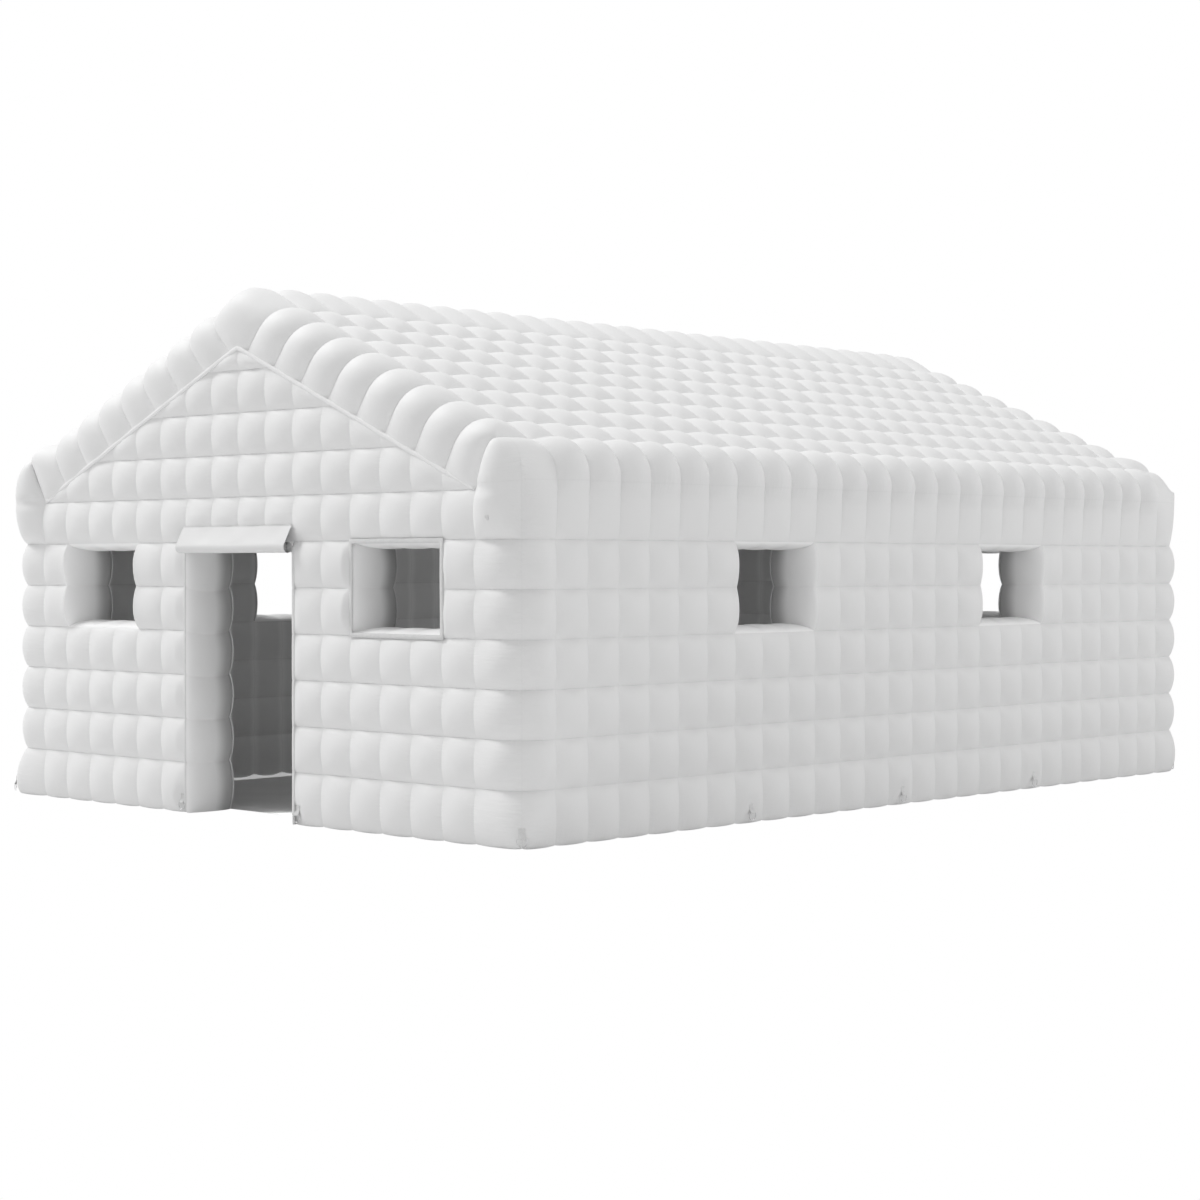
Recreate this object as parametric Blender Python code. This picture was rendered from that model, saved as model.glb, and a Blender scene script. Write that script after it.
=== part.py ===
"""A large inflatable tent with quilted air walls, built from its separate sewn pieces.

Metres, +Z up. The origin is the middle of the ground sheet's underside. The door is in the
front wall, which faces -Y, and the long side walls face -X and +X.
"""
import math

import bmesh
import bpy
from mathutils import Matrix, Vector
from mathutils.geometry import delaunay_2d_cdt

# Quilt grid of the whole tent
END_CELL = 0.32
CORNER_CELL = 0.44
LONG_CELL = 0.3163
ROW = 0.34
GABLE_ROW = 0.318
FOOT = 0.05
WALL = 0.385
BULGE = 0.048
SEAM_BULGE = 0.024
LINING_BULGE = 0.036
REVEAL_BULGE = 0.06

# Roof outline
EAVE_RISE = 0.24
ROOF_RISE = 1.316
RIDGE_HALF = 0.384
FAN_HALF = 0.096
EAVE_FLAT = 0.242
EAVE_ROUND = 0.09
RAKE_ROUND = 0.07

# Cloth and clearances
CLOTH = 0.004
BAFFLE = 0.004
SHEET = 0.003
GAP = 0.0003

# Door curtain
HEADER_HEIGHT = 0.035
HEADER_LIFT = 0.09
CURTAIN_OVERHANG = 0.01
ROLL_REACH = 0.078
ROLL_DROP = 0.042
ROLL_RADIUS = 0.042
ROLL_CORE = 0.014
ROLL_CLOTH = 0.005
ROLL_START = math.radians(145.3)

# Window rim
RIM_WIDTH = 0.012
RIM_REACH = 0.02
RIM_THICKNESS = 0.004

# Anchor rings and their webbing tabs
RING_HALF_WIDTH = 0.036
RING_SHOULDER = 0.018
RING_DEPTH = 0.036
RING_WIRE = 0.003
RING_HEIGHT = 0.0775
TAB_WIDTH = 0.048
TAB_THICKNESS = 0.004
TAB_BORE = 0.0038
TAB_NECK = 0.014
TAB_KICK = 0.012
TAB_PATCH_LOW = 0.034
TAB_PATCH_TOP = 0.07
DOOR_TAB_OFFSET = 0.05

# Counts
END_COLUMNS = 16
SIDE_COLUMNS = 27
WALL_ROWS = 7
EAVE_ROWS = 6
ROOF_CELLS = 8
DOOR_COLUMNS = 4
DOOR_ROWS = 6
WINDOW_COLUMNS = 3
WINDOW_ROWS = 2
SILL_ROW = 4
FRONT_WINDOW_COLUMN = 4
BACK_WINDOW_COLUMN = 2
SIDE_WINDOW_COLUMNS = (7, 17)
SIDE_RING_COLUMNS = (7, 13, 19)
ROLL_TURNS = 3
ROLL_STEPS = 13
REVEAL_STEPS = 4
RING_SIDES = 12
RING_ARC = 8
LOOP_STEPS = 8
BORE_SIDES = 12
BAFFLE_TIES = 3

# Shares of a full bulge
SEAM_SHARE = 0.3
SHOULDER_SHARE = 0.6
PATCH_SHARE = 0.5

HALF_WIDTH = CORNER_CELL + END_COLUMNS * END_CELL / 2
HALF_LENGTH = SIDE_COLUMNS * LONG_CELL / 2
GABLE_HALF = END_COLUMNS * END_CELL / 2
PITCH = math.atan2(ROOF_RISE, HALF_WIDTH)
SLOPE = math.tan(PITCH)
SKIN = CLOTH + GAP


def row_height(row):
    """Height of the seam above the given number of rows."""
    return FOOT + row * ROW if row else 0.0


def gable_seams(top):
    """Heights of the seams across a gable, as many as fit under its top."""
    count = int((top - row_height(WALL_ROWS)) / GABLE_ROW)
    return [row_height(WALL_ROWS) + GABLE_ROW * step for step in range(1, count + 1)]


WALL_TOP = row_height(WALL_ROWS)
EAVE = WALL_TOP + EAVE_RISE
RIDGE = EAVE + ROOF_RISE
GABLE_TOP = WALL_TOP + SLOPE * GABLE_HALF
EAVE_SEAM_X = HALF_WIDTH - EAVE_FLAT
INNER_X = HALF_WIDTH - WALL
INNER_Y = HALF_LENGTH - WALL
INNER_RIDGE = RIDGE - WALL / math.cos(PITCH)
INNER_EAVE = INNER_RIDGE - SLOPE * INNER_X

CLOTH_LOOK = ((0.86, 0.86, 0.86), 0.62, 0.0)
LINING_LOOK = ((0.80, 0.80, 0.80), 0.68, 0.0)
SHEET_LOOK = ((0.62, 0.62, 0.62), 0.55, 0.0)
WEBBING_LOOK = ((0.88, 0.88, 0.88), 0.75, 0.0)
STEEL_LOOK = ((0.78, 0.78, 0.78), 0.32, 1.0)


def clear_scene():
    """Remove every object that the file holds."""
    for old in list(bpy.data.objects):
        bpy.data.objects.remove(old, do_unlink=True)


def finish(name, bm, look, frame=Matrix.Identity(4), sharp_angle=math.radians(35)):
    """Turn a closed bmesh into a named object with its own material."""
    bmesh.ops.recalc_face_normals(bm, faces=bm.faces)
    mesh = bpy.data.meshes.new(name)
    bm.to_mesh(mesh)
    bm.free()
    mesh.shade_smooth()
    mesh.set_sharp_from_angle(angle=sharp_angle)
    colour, roughness, metallic = look
    material = bpy.data.materials.new(name)
    material.use_nodes = True
    shader = material.node_tree.nodes["Principled BSDF"]
    shader.inputs["Base Color"].default_value = (*colour, 1.0)
    shader.inputs["Roughness"].default_value = roughness
    shader.inputs["Metallic"].default_value = metallic
    mesh.materials.append(material)
    piece = bpy.data.objects.new(name, mesh)
    bpy.context.collection.objects.link(piece)
    piece.matrix_world = frame
    return piece


def frame_of(origin, across, up):
    """Local frame whose X runs across, Y runs up and Z points out of the panel."""
    across, up = Vector(across).normalized(), Vector(up).normalized()
    out = across.cross(up)
    turn = Matrix((across, up, out)).transposed().to_4x4()
    return Matrix.Translation(origin) @ turn


def front_frame(depth=0.0):
    """Frame of the front wall's outer side, moved inwards by depth."""
    return frame_of((0, depth - HALF_LENGTH, 0), (1, 0, 0), (0, 0, 1))


def back_frame(depth=0.0):
    """Frame of the back wall's outer side."""
    return frame_of((0, HALF_LENGTH - depth, 0), (-1, 0, 0), (0, 0, 1))


def side_frame(side, depth=0.0):
    """Frame of a long wall's outer side; side is -1 for left and 1 for right."""
    return frame_of((side * (HALF_WIDTH - depth), 0, 0), (0, side, 0), (0, 0, 1))


def roof_height(x, depth=0.0):
    """Height of the roof's seam plane over x, at a depth measured square to the slope."""
    return RIDGE - SLOPE * abs(x) - depth / math.cos(PITCH)


def clipped(corners, side):
    """The part of a convex outline where side(point) is not negative."""
    kept = []
    for start, end in zip(corners, corners[1:] + corners[:1]):
        here, there = [0.0 if abs(side(p)) < GAP else side(p) for p in (start, end)]
        if here >= 0:
            kept.append(start)
        if here * there < 0:
            kept.append(start.lerp(end, here / (here - there)))
    return kept


def grid_cells(columns, rows, openings=()):
    """Rectangles between neighbouring lines, without those inside an opening."""
    cells = []
    for low, high in zip(rows, rows[1:]):
        for left, right in zip(columns, columns[1:]):
            x, y = (left + right) / 2, (low + high) / 2
            if any(a < x < b and c < y < d for a, b, c, d in openings):
                continue
            corners = [(left, low), (right, low), (right, high), (left, high)]
            cells.append([Vector(corner) for corner in corners])
    return cells


def gable_cells(columns, rows):
    """Rectangles clipped under the two sloping edges of a gable."""
    top = rows[-1]
    half = columns[-1]
    cells = []
    for cell in grid_cells(columns, rows):
        for lean in (-1, 1):
            rise = (top - rows[0]) / half
            cell = clipped(cell, lambda p: top - rise * lean * p.x - p.y)
        if len(cell) > 2 and area_of(cell) > GAP * half:
            cells.append(cell)
    return cells


def area_of(corners):
    """Area of a flat outline."""
    pairs = zip(corners, corners[1:] + corners[:1])
    return abs(sum(a.x * b.y - b.x * a.y for a, b in pairs)) / 2


def fill_flat(bm, edges):
    """Fill the flat region inside closed loops of edges with triangles, round any holes."""
    verts = list(dict.fromkeys(vert for edge in edges for vert in edge.verts))
    place = {vert: number for number, vert in enumerate(verts)}
    sides = [(place[edge.verts[0]], place[edge.verts[1]]) for edge in edges]
    flat = [Vector((vert.co.x, vert.co.y)) for vert in verts]
    points, _, triangles, origins, _, _ = delaunay_2d_cdt(flat, sides, [], 1, GAP / len(verts))
    for triangle in triangles:
        middle = sum((points[corner] for corner in triangle), Vector((0, 0))) / 3
        crossings = 0
        for one, two in sides:
            a, b = flat[one], flat[two]
            if (a.y > middle.y) != (b.y > middle.y):
                crossing = a.x + (b.x - a.x) * (middle.y - a.y) / (b.y - a.y)
                crossings += crossing > middle.x
        if crossings % 2:
            bm.faces.new([verts[origins[corner][0]] for corner in triangle])


def close_behind(bm, depth):
    """Carry every open edge straight back by depth and fill the flat side there."""
    rim = [edge for edge in bm.edges if edge.is_boundary]
    made = bmesh.ops.extrude_edge_only(bm, edges=rim)["geom"]
    back = {vert for vert in made if isinstance(vert, bmesh.types.BMVert)}
    for vert in back:
        vert.co.z = -depth
    edges = [edge for edge in made if isinstance(edge, bmesh.types.BMEdge)]
    edges = [edge for edge in edges if edge.verts[0] in back and edge.verts[1] in back]
    fill_flat(bm, edges)


class Cells:
    """Flat cells that share their corner points, raised into pillows or channels."""

    def __init__(self, flat_columns=()):
        self.bm = bmesh.new()
        self.points = {}
        self.flat_columns = flat_columns

    def point(self, x, y, z=0.0):
        key = (round(x / GAP), round(y / GAP))
        if key not in self.points:
            self.points[key] = self.bm.verts.new((x, y, z))
        return self.points[key]

    def pillow(self, corners, bulge, seam_bulge, full_area, full_height):
        """A fan of triangles round a raised middle, with upright seams half raised."""
        ring = []
        for start, end in zip(corners, corners[1:] + corners[:1]):
            ring.append(self.point(start.x, start.y))
            upright = abs(start.x - end.x) < GAP
            flat = any(abs(start.x - column) < GAP for column in self.flat_columns)
            if upright and not flat:
                share = min(1.0, abs(start.y - end.y) / full_height)
                ring.append(self.point(start.x, (start.y + end.y) / 2, seam_bulge * share))
        middle = sum(corners, Vector((0, 0))) / len(corners)
        share = min(1.0, math.sqrt(area_of(corners) / full_area))
        peak = self.bm.verts.new((middle.x, middle.y, bulge * share))
        for one, two in zip(ring, ring[1:] + ring[:1]):
            self.bm.faces.new((one, two, peak))

    def channel(self, corners, bulge):
        """A long raised channel with sloping ends, on four corners from the lower left."""
        low_left, low_right, top_right, top_left = [self.point(c.x, c.y) for c in corners]
        left = (corners[0] + corners[3]) / 2
        right = (corners[1] + corners[2]) / 2
        height = corners[3].y - corners[0].y
        inset = min(height / 2, (right.x - left.x) / 3)
        lean = max(abs(corners[3].x - corners[0].x) / 2, 0.0)
        start = self.bm.verts.new((left.x + inset + lean, left.y, bulge))
        end = self.bm.verts.new((right.x - inset - lean, right.y, bulge))
        self.bm.faces.new((low_left, low_right, end, start))
        self.bm.faces.new((low_right, top_right, end))
        self.bm.faces.new((top_right, top_left, start, end))
        self.bm.faces.new((top_left, low_left, start))


def opening_lines(openings):
    """The upright edges of a list of openings."""
    return [edge for opening in openings for edge in opening[:2]]


def end_window(column):
    """A window of an end wall whose near edge is some cells from the middle."""
    low = column * END_CELL
    return (low, low + WINDOW_COLUMNS * END_CELL,
            row_height(SILL_ROW), row_height(SILL_ROW + WINDOW_ROWS))


def mirrored(opening):
    """The same opening on the other side of the middle."""
    left, right, low, high = opening
    return (-right, -left, low, high)


DOOR = (-DOOR_COLUMNS * END_CELL / 2, DOOR_COLUMNS * END_CELL / 2, -ROW, row_height(DOOR_ROWS))
FRONT_RIGHT_WINDOW = end_window(FRONT_WINDOW_COLUMN)
FRONT_LEFT_WINDOW = mirrored(FRONT_RIGHT_WINDOW)
BACK_WINDOW = end_window(BACK_WINDOW_COLUMN)
FRONT_OPENINGS = (DOOR, FRONT_LEFT_WINDOW, FRONT_RIGHT_WINDOW)


def side_window(column, side):
    """A side wall window in the wall's own frame, where X runs back on the right wall."""
    low = column * LONG_CELL - HALF_LENGTH
    window = (low, low + WINDOW_COLUMNS * LONG_CELL,
              row_height(SILL_ROW), row_height(SILL_ROW + WINDOW_ROWS))
    return window if side > 0 else mirrored(window)


def end_wall(name, frame, openings):
    """Quilted outer skin of an end wall, with its gable and the cells under the eaves."""
    edge = HALF_WIDTH - SKIN
    inner = [GABLE_HALF - END_CELL * step for step in range(END_COLUMNS, -1, -1)]
    columns = [-edge] + inner + [edge]
    rows = [row_height(row) for row in range(WALL_ROWS + 1)]
    gable_rows = [WALL_TOP, *gable_seams(GABLE_TOP), GABLE_TOP]
    panel = Cells(flat_columns=(-edge, edge))
    full = END_CELL * ROW
    for cell in grid_cells(columns, rows, openings) + gable_cells(inner, gable_rows):
        panel.pillow(cell, BULGE, SEAM_BULGE, full, ROW)
    cheek = EAVE - EAVE_ROUND
    shoulder_x = HALF_WIDTH - EAVE_ROUND * math.cos(PITCH) - SKIN * math.sin(PITCH)
    seam_x = EAVE_SEAM_X - SKIN * math.sin(PITCH)
    for side in (-1, 1):
        corners = [(GABLE_HALF, WALL_TOP), (edge, WALL_TOP), (edge, cheek),
                   (shoulder_x, roof_height(shoulder_x, SKIN)),
                   (seam_x, roof_height(seam_x, SKIN))]
        corners = [Vector((side * x, y)) for x, y in corners]
        panel.pillow(corners, BULGE, SEAM_BULGE, full, ROW)
    close_behind(panel.bm, CLOTH)
    return finish(name, panel.bm, CLOTH_LOOK, frame)


def side_wall(name, side):
    """Quilted outer skin of a long wall, up to the seam under the eave cell."""
    columns = [LONG_CELL * step - HALF_LENGTH for step in range(SIDE_COLUMNS + 1)]
    rows = [row_height(row) for row in range(EAVE_ROWS + 1)]
    openings = [side_window(column, side) for column in SIDE_WINDOW_COLUMNS]
    panel = Cells(flat_columns=(columns[0], columns[-1]))
    for cell in grid_cells(columns, rows, openings):
        panel.pillow(cell, BULGE, SEAM_BULGE, LONG_CELL * ROW, ROW)
    close_behind(panel.bm, CLOTH)
    return finish(name, panel.bm, CLOTH_LOOK, side_frame(side))


def roof_panel(name, side):
    """Quilted outer skin of one roof slope, between the ridge, the rakes and the eave."""
    length = (EAVE_SEAM_X - RIDGE_HALF) / math.cos(PITCH)
    rows = [GAP + (length - 2 * GAP) * step / ROOF_CELLS for step in range(ROOF_CELLS + 1)]
    columns = [LONG_CELL * step - HALF_LENGTH for step in range(1, SIDE_COLUMNS)]
    columns[0] += GAP
    columns[-1] -= GAP
    panel = Cells()
    for cell in grid_cells(columns, rows):
        panel.pillow(cell, BULGE, 0.0, LONG_CELL * length / ROOF_CELLS, length)
    close_behind(panel.bm, CLOTH)
    up = (-side * math.cos(PITCH), 0, math.sin(PITCH))
    frame = frame_of((side * EAVE_SEAM_X, 0, roof_height(EAVE_SEAM_X)), (0, side, 0), up)
    return finish(name, panel.bm, CLOTH_LOOK, frame)


class Shell:
    """Points, bands and faces of one closed solid, in world coordinates."""

    def __init__(self):
        self.bm = bmesh.new()

    def line(self, points):
        return [self.bm.verts.new(point) for point in points]

    def face(self, *lines):
        self.bm.faces.new([vert for line in lines for vert in line])

    def band(self, one, two):
        for step in range(len(one) - 1):
            self.bm.faces.new((one[step], one[step + 1], two[step + 1], two[step]))


def side_stations(first, last):
    """Places along the tent from one seam to another, with the share of a full bulge."""
    stations = []
    for step in range(2 * first, 2 * last + 1):
        share = 1.0 if step % 2 else SEAM_SHARE
        stations.append((LONG_CELL * step / 2 - HALF_LENGTH, share))
    return stations


def eave(name, side):
    """The big rounded cell that rolls over the eave, along the whole side."""
    normal = Vector((side * math.sin(PITCH), 0, math.cos(PITCH)))
    down = Vector((side * math.cos(PITCH), 0, -math.sin(PITCH)))
    out = Vector((side, 0, 0))
    corner = Vector((side * HALF_WIDTH, 0, EAVE))
    seam = Vector((side * EAVE_SEAM_X, 0, roof_height(EAVE_SEAM_X))) + down * GAP
    foot = Vector((side * HALF_WIDTH, 0, row_height(EAVE_ROWS) + GAP))
    shoulder = corner - down * EAVE_ROUND
    cheek = corner - Vector((0, 0, EAVE_ROUND))
    middle = (cheek + foot) / 2
    profile = ((seam, normal, 0.0), (shoulder, normal, SHOULDER_SHARE),
               (cheek, out, SHOULDER_SHARE), (middle, out, 1.0), (foot, out, 0.0))
    stations = side_stations(0, SIDE_COLUMNS)
    shell = Shell()
    lines = []
    for place, push, height in profile:
        points = [place + push * BULGE * height * share + Vector((0, y, 0))
                  for y, share in stations]
        lines.append(shell.line(points))
    for one, two in zip(lines, lines[1:]):
        shell.band(one, two)
    ends = (stations[0][0], stations[-1][0])
    top_back = shell.line([seam - normal * CLOTH + Vector((0, y, 0)) for y, _ in stations])
    low_back = shell.line([foot - out * CLOTH + Vector((0, y, 0)) for y, _ in stations])
    shoulder_back = shell.line([shoulder - normal * CLOTH + Vector((0, y, 0)) for y in ends])
    cheek_back = shell.line([cheek - out * CLOTH + Vector((0, y, 0)) for y in ends])
    shell.band(lines[0], top_back)
    shell.band(lines[-1], low_back)
    shell.face(top_back, shoulder_back[::-1])
    shell.face(shoulder_back, cheek_back[::-1])
    shell.face(cheek_back, low_back[::-1])
    for end in (0, -1):
        shell.face([line[end] for line in lines],
                   (low_back[end], cheek_back[end], shoulder_back[end], top_back[end]))
    return finish(name, shell.bm, CLOTH_LOOK)


def ridge(name):
    """The ridge cells, between the first cross seams behind the rakes."""
    shell = Shell()
    stations = side_stations(1, SIDE_COLUMNS - 1)
    stations[0] = (stations[0][0] + GAP, SEAM_SHARE)
    stations[-1] = (stations[-1][0] - GAP, SEAM_SHARE)
    edge = RIDGE_HALF - GAP
    across = ((-edge, 0.0), (-edge / 2, SHOULDER_SHARE), (0.0, 1.0),
              (edge / 2, SHOULDER_SHARE), (edge, 0.0))
    lines = []
    for x, height in across:
        points = [(x, y, roof_height(x) + BULGE * height * share) for y, share in stations]
        lines.append(shell.line(points))
    for one, two in zip(lines, lines[1:]):
        shell.band(one, two)
    lean = CLOTH * math.sin(PITCH)
    fall = CLOTH * math.cos(PITCH)
    left = shell.line([(-edge + lean, y, roof_height(edge) - fall) for y, _ in stations])
    right = shell.line([(edge - lean, y, roof_height(edge) - fall) for y, _ in stations])
    ends = (stations[0][0], stations[-1][0])
    top = shell.line([(0, y, roof_height(0, CLOTH)) for y in ends])
    shell.band(lines[0], left)
    shell.band(lines[-1], right)
    shell.face(left, top[::-1])
    shell.face(right, top[::-1])
    for end in (0, -1):
        shell.face([line[end] for line in lines], (right[end], top[end], left[end]))
    return finish(name, shell.bm, CLOTH_LOOK)


def rake_stations():
    """Pairs of places across the gable edge and the roof edge, with their bulge share."""
    half = []
    for step in range(2 * ROOF_CELLS + 1):
        share = step / (2 * ROOF_CELLS)
        inner = FAN_HALF + (GABLE_HALF - FAN_HALF) * share
        outer = RIDGE_HALF + (EAVE_SEAM_X - RIDGE_HALF) * share
        height = 1.0 if step % 2 else SEAM_SHARE
        half.append((inner, outer, height))
    half[-1] = (half[-1][0], half[-1][1], 0.0)
    left = [(-inner, -outer, height) for inner, outer, height in reversed(half)]
    return left + [(0.0, 0.0, 1.0)] + half


def rake(name, end):
    """The fan of big cells on a gable's edge; end is -1 at the front and 1 at the back."""
    face = end * HALF_LENGTH
    out = Vector((0, end, 0))
    back = face - end * LONG_CELL
    shell = Shell()
    stations = rake_stations()
    lines = [[] for _ in range(6)]
    behind_gable, behind_seam = [], []
    for inner, outer, height in stations:
        side = (outer > 0) - (outer < 0)
        normal = Vector((side * math.sin(PITCH), 0, math.cos(PITCH)))
        gable = Vector((inner, face, GABLE_TOP - SLOPE * abs(inner) + GAP / math.cos(PITCH)))
        edge = Vector((outer, face, roof_height(outer)))
        seam = Vector((outer, back, roof_height(outer)))
        push = BULGE * height
        inward = (gable - edge).normalized()
        lines[0].append(gable)
        lines[1].append((gable + edge) / 2 + out * push)
        lines[2].append(edge + inward * RAKE_ROUND + out * push * SHOULDER_SHARE)
        lines[3].append(edge - out * RAKE_ROUND + normal * push * SHOULDER_SHARE)
        lines[4].append((edge + seam) / 2 + normal * push)
        lines[5].append(seam)
        behind_gable.append(gable - out * CLOTH)
        behind_seam.append(seam - normal * CLOTH)
    lines = [shell.line(line) for line in lines]
    for one, two in zip(lines, lines[1:]):
        shell.band(one, two)
    behind_gable = shell.line(behind_gable)
    behind_seam = shell.line(behind_seam)
    shell.band(lines[0], behind_gable)
    shell.band(lines[-1], behind_seam)
    chamfers = []
    for inner, outer, _ in (stations[0], stations[len(stations) // 2], stations[-1]):
        side = (outer > 0) - (outer < 0)
        normal = Vector((side * math.sin(PITCH), 0, math.cos(PITCH)))
        gable = Vector((inner, face, GABLE_TOP - SLOPE * abs(inner) + GAP / math.cos(PITCH)))
        edge = Vector((outer, face, roof_height(outer)))
        inward = (gable - edge).normalized()
        chamfers.append((edge + inward * RAKE_ROUND - out * CLOTH,
                         edge - out * RAKE_ROUND - normal * CLOTH))
    front_line = shell.line([pair[0] for pair in chamfers])
    top_line = shell.line([pair[1] for pair in chamfers])
    shell.face(behind_gable, front_line[::-1])
    shell.band(front_line, top_line)
    half = len(stations) // 2
    shell.face(behind_seam[:half + 1], top_line[:2][::-1])
    shell.face(behind_seam[half:], top_line[1:][::-1])
    for place in (0, -1):
        shell.face([line[place] for line in lines],
                   (behind_seam[place], top_line[place], front_line[place], behind_gable[place]))
    return finish(name, shell.bm, CLOTH_LOOK)


def end_lining(name, frame, openings):
    """Inner lining of an end wall, with long air channels and its gable."""
    half = INNER_X - GAP
    columns = sorted({-half, half, *opening_lines(openings)})
    rows = [SHEET + GAP] + [row_height(row) for row in range(1, WALL_ROWS)]
    rows.append(INNER_EAVE - GAP)
    panel = Cells()
    for cell in grid_cells(columns, rows, openings):
        panel.channel(cell, LINING_BULGE)
    top = INNER_RIDGE - 2 * GAP
    base = rows[-1]
    levels = [base, *gable_seams(top)]
    spans = [half * (top - level) / (top - base) for level in levels]
    first = [Vector((x, base)) for x in columns]
    shoulder = [Vector((spans[1], levels[1])), Vector((-spans[1], levels[1]))]
    gable_lining(panel, first, shoulder, spans, levels, top)
    close_behind(panel.bm, CLOTH)
    return finish(name, panel.bm, LINING_LOOK, frame)


def gable_lining(panel, first, shoulder, spans, levels, top):
    """The gable part of a lining: a fan on the wall's top edge, then channels and a tip."""
    corners = first + shoulder
    ring = [panel.point(corner.x, corner.y) for corner in corners]
    ends = (Vector((-spans[1] / 2, (levels[0] + levels[1]) / 2)),
            Vector((spans[1] / 2, (levels[0] + levels[1]) / 2)))
    left, right = [panel.bm.verts.new((end.x, end.y, LINING_BULGE)) for end in ends]
    low = ring[:len(first)]
    panel.bm.faces.new((low[0], left, ring[-1]))
    panel.bm.faces.new((low[-1], ring[-2], right))
    panel.bm.faces.new((ring[-2], ring[-1], left, right))
    split = len(low) // 2
    for one, two in zip(low[:split], low[1:split + 1]):
        panel.bm.faces.new((one, two, left))
    panel.bm.faces.new((low[split], right, left))
    for one, two in zip(low[split:], low[split + 1:]):
        panel.bm.faces.new((one, two, right))
    for step in range(1, len(levels) - 1):
        cell = [(-spans[step], levels[step]), (spans[step], levels[step]),
                (spans[step + 1], levels[step + 1]), (-spans[step + 1], levels[step + 1])]
        panel.channel([Vector(corner) for corner in cell], LINING_BULGE)
    tip = [(-spans[-1], levels[-1]), (spans[-1], levels[-1]), (0.0, top)]
    panel.bm.faces.new([panel.point(x, y) for x, y in tip])


def side_lining(name, side):
    """Inner lining of a long wall, with long air channels."""
    half = INNER_Y - GAP
    openings = [side_window(column, -side) for column in SIDE_WINDOW_COLUMNS]
    columns = sorted({-half, half, *opening_lines(openings)})
    rows = [SHEET + GAP] + [row_height(row) for row in range(1, WALL_ROWS)]
    rows.append(INNER_EAVE - GAP)
    panel = Cells()
    for cell in grid_cells(columns, rows, openings):
        panel.channel(cell, LINING_BULGE)
    close_behind(panel.bm, CLOTH)
    frame = frame_of((side * INNER_X, 0, 0), (0, -side, 0), (0, 0, 1))
    return finish(name, panel.bm, LINING_LOOK, frame)


def ceiling(name, side):
    """Inner lining of one roof slope, with channels that run along the tent."""
    length = INNER_X / math.cos(PITCH)
    rows = [GAP + (length - 2 * GAP) * step / ROOF_CELLS for step in range(ROOF_CELLS + 1)]
    columns = (-INNER_Y + GAP, INNER_Y - GAP)
    panel = Cells()
    for cell in grid_cells(columns, rows):
        panel.channel(cell, LINING_BULGE)
    close_behind(panel.bm, CLOTH)
    up = (-side * math.cos(PITCH), 0, math.sin(PITCH))
    frame = frame_of((side * INNER_X, 0, INNER_EAVE), (0, -side, 0), up)
    return finish(name, panel.bm, LINING_LOOK, frame)


def reveal(name, frame, opening, open_below=False):
    """Padded sleeve that lines an opening, from the outer skin to the inner lining."""
    left, right, low, high = opening
    start, end = SKIN, WALL - SKIN
    section = []
    for step in range(REVEAL_STEPS + 1):
        share = step / REVEAL_STEPS
        swell = REVEAL_BULGE * math.sin(math.pi * share)
        section.append((start + (end - start) * share, swell))
    section += [(end, -CLOTH), (start, -CLOTH)]
    bm = bmesh.new()
    rings = []
    for depth, swell in section:
        if open_below:
            corners = [(left + swell, 0.0), (left + swell, high - swell),
                       (right - swell, high - swell), (right - swell, 0.0)]
        else:
            corners = [(left + swell, low + swell), (left + swell, high - swell),
                       (right - swell, high - swell), (right - swell, low + swell)]
        rings.append([bm.verts.new((x, y, -depth)) for x, y in corners])
    sides = 3 if open_below else 4
    for one, two in zip(rings, rings[1:] + rings[:1]):
        for step in range(sides):
            after = (step + 1) % 4
            bm.faces.new((one[step], one[after], two[after], two[step]))
    if open_below:
        for corner in (0, 3):
            bm.faces.new([ring[corner] for ring in rings])
    return finish(name, bm, CLOTH_LOOK, frame)


def outlines(cells):
    """Closed outlines round cells that share whole sides, without points on a straight run."""
    sides = set()
    for cell in cells:
        points = [(corner.x, corner.y) for corner in cell]
        for one, two in zip(points, points[1:] + points[:1]):
            if (two, one) in sides:
                sides.remove((two, one))
            else:
                sides.add((one, two))
    after = dict(sides)
    loops = []
    while after:
        loop = [next(iter(after))]
        while loop[-1] in after:
            loop.append(after.pop(loop[-1]))
        loop.pop()
        turns = zip(loop[-1:] + loop[:-1], loop, loop[1:] + loop[:1])
        loops.append([here for before, here, then in turns
                      if (before[0] == here[0]) != (here[0] == then[0])])
    return loops


def lattice(name, look, frame, strips, openings, depth):
    """A flat net of strips with rectangular holes, carried straight back by depth."""
    xs = sorted({edge for strip in (*strips, *openings) for edge in strip[:2]})
    ys = sorted({edge for strip in (*strips, *openings) for edge in strip[2:]})
    cells = []
    for cell in grid_cells(xs, ys, openings):
        middle = (cell[0] + cell[2]) / 2
        if any(a < middle.x < b and c < middle.y < d for a, b, c, d in strips):
            cells.append(cell)
    bm = bmesh.new()
    for loop in outlines(cells):
        verts = [bm.verts.new((x, y, 0)) for x, y in loop]
        for one, two in zip(verts, verts[1:] + verts[:1]):
            bm.edges.new((one, two))
    fill_flat(bm, bm.edges[:])
    close_behind(bm, depth)
    return finish(name, bm, look, frame)


def grown(opening, margin):
    """An opening made larger all round."""
    left, right, low, high = opening
    return (left - margin, right + margin, low - margin, high + margin)


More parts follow.
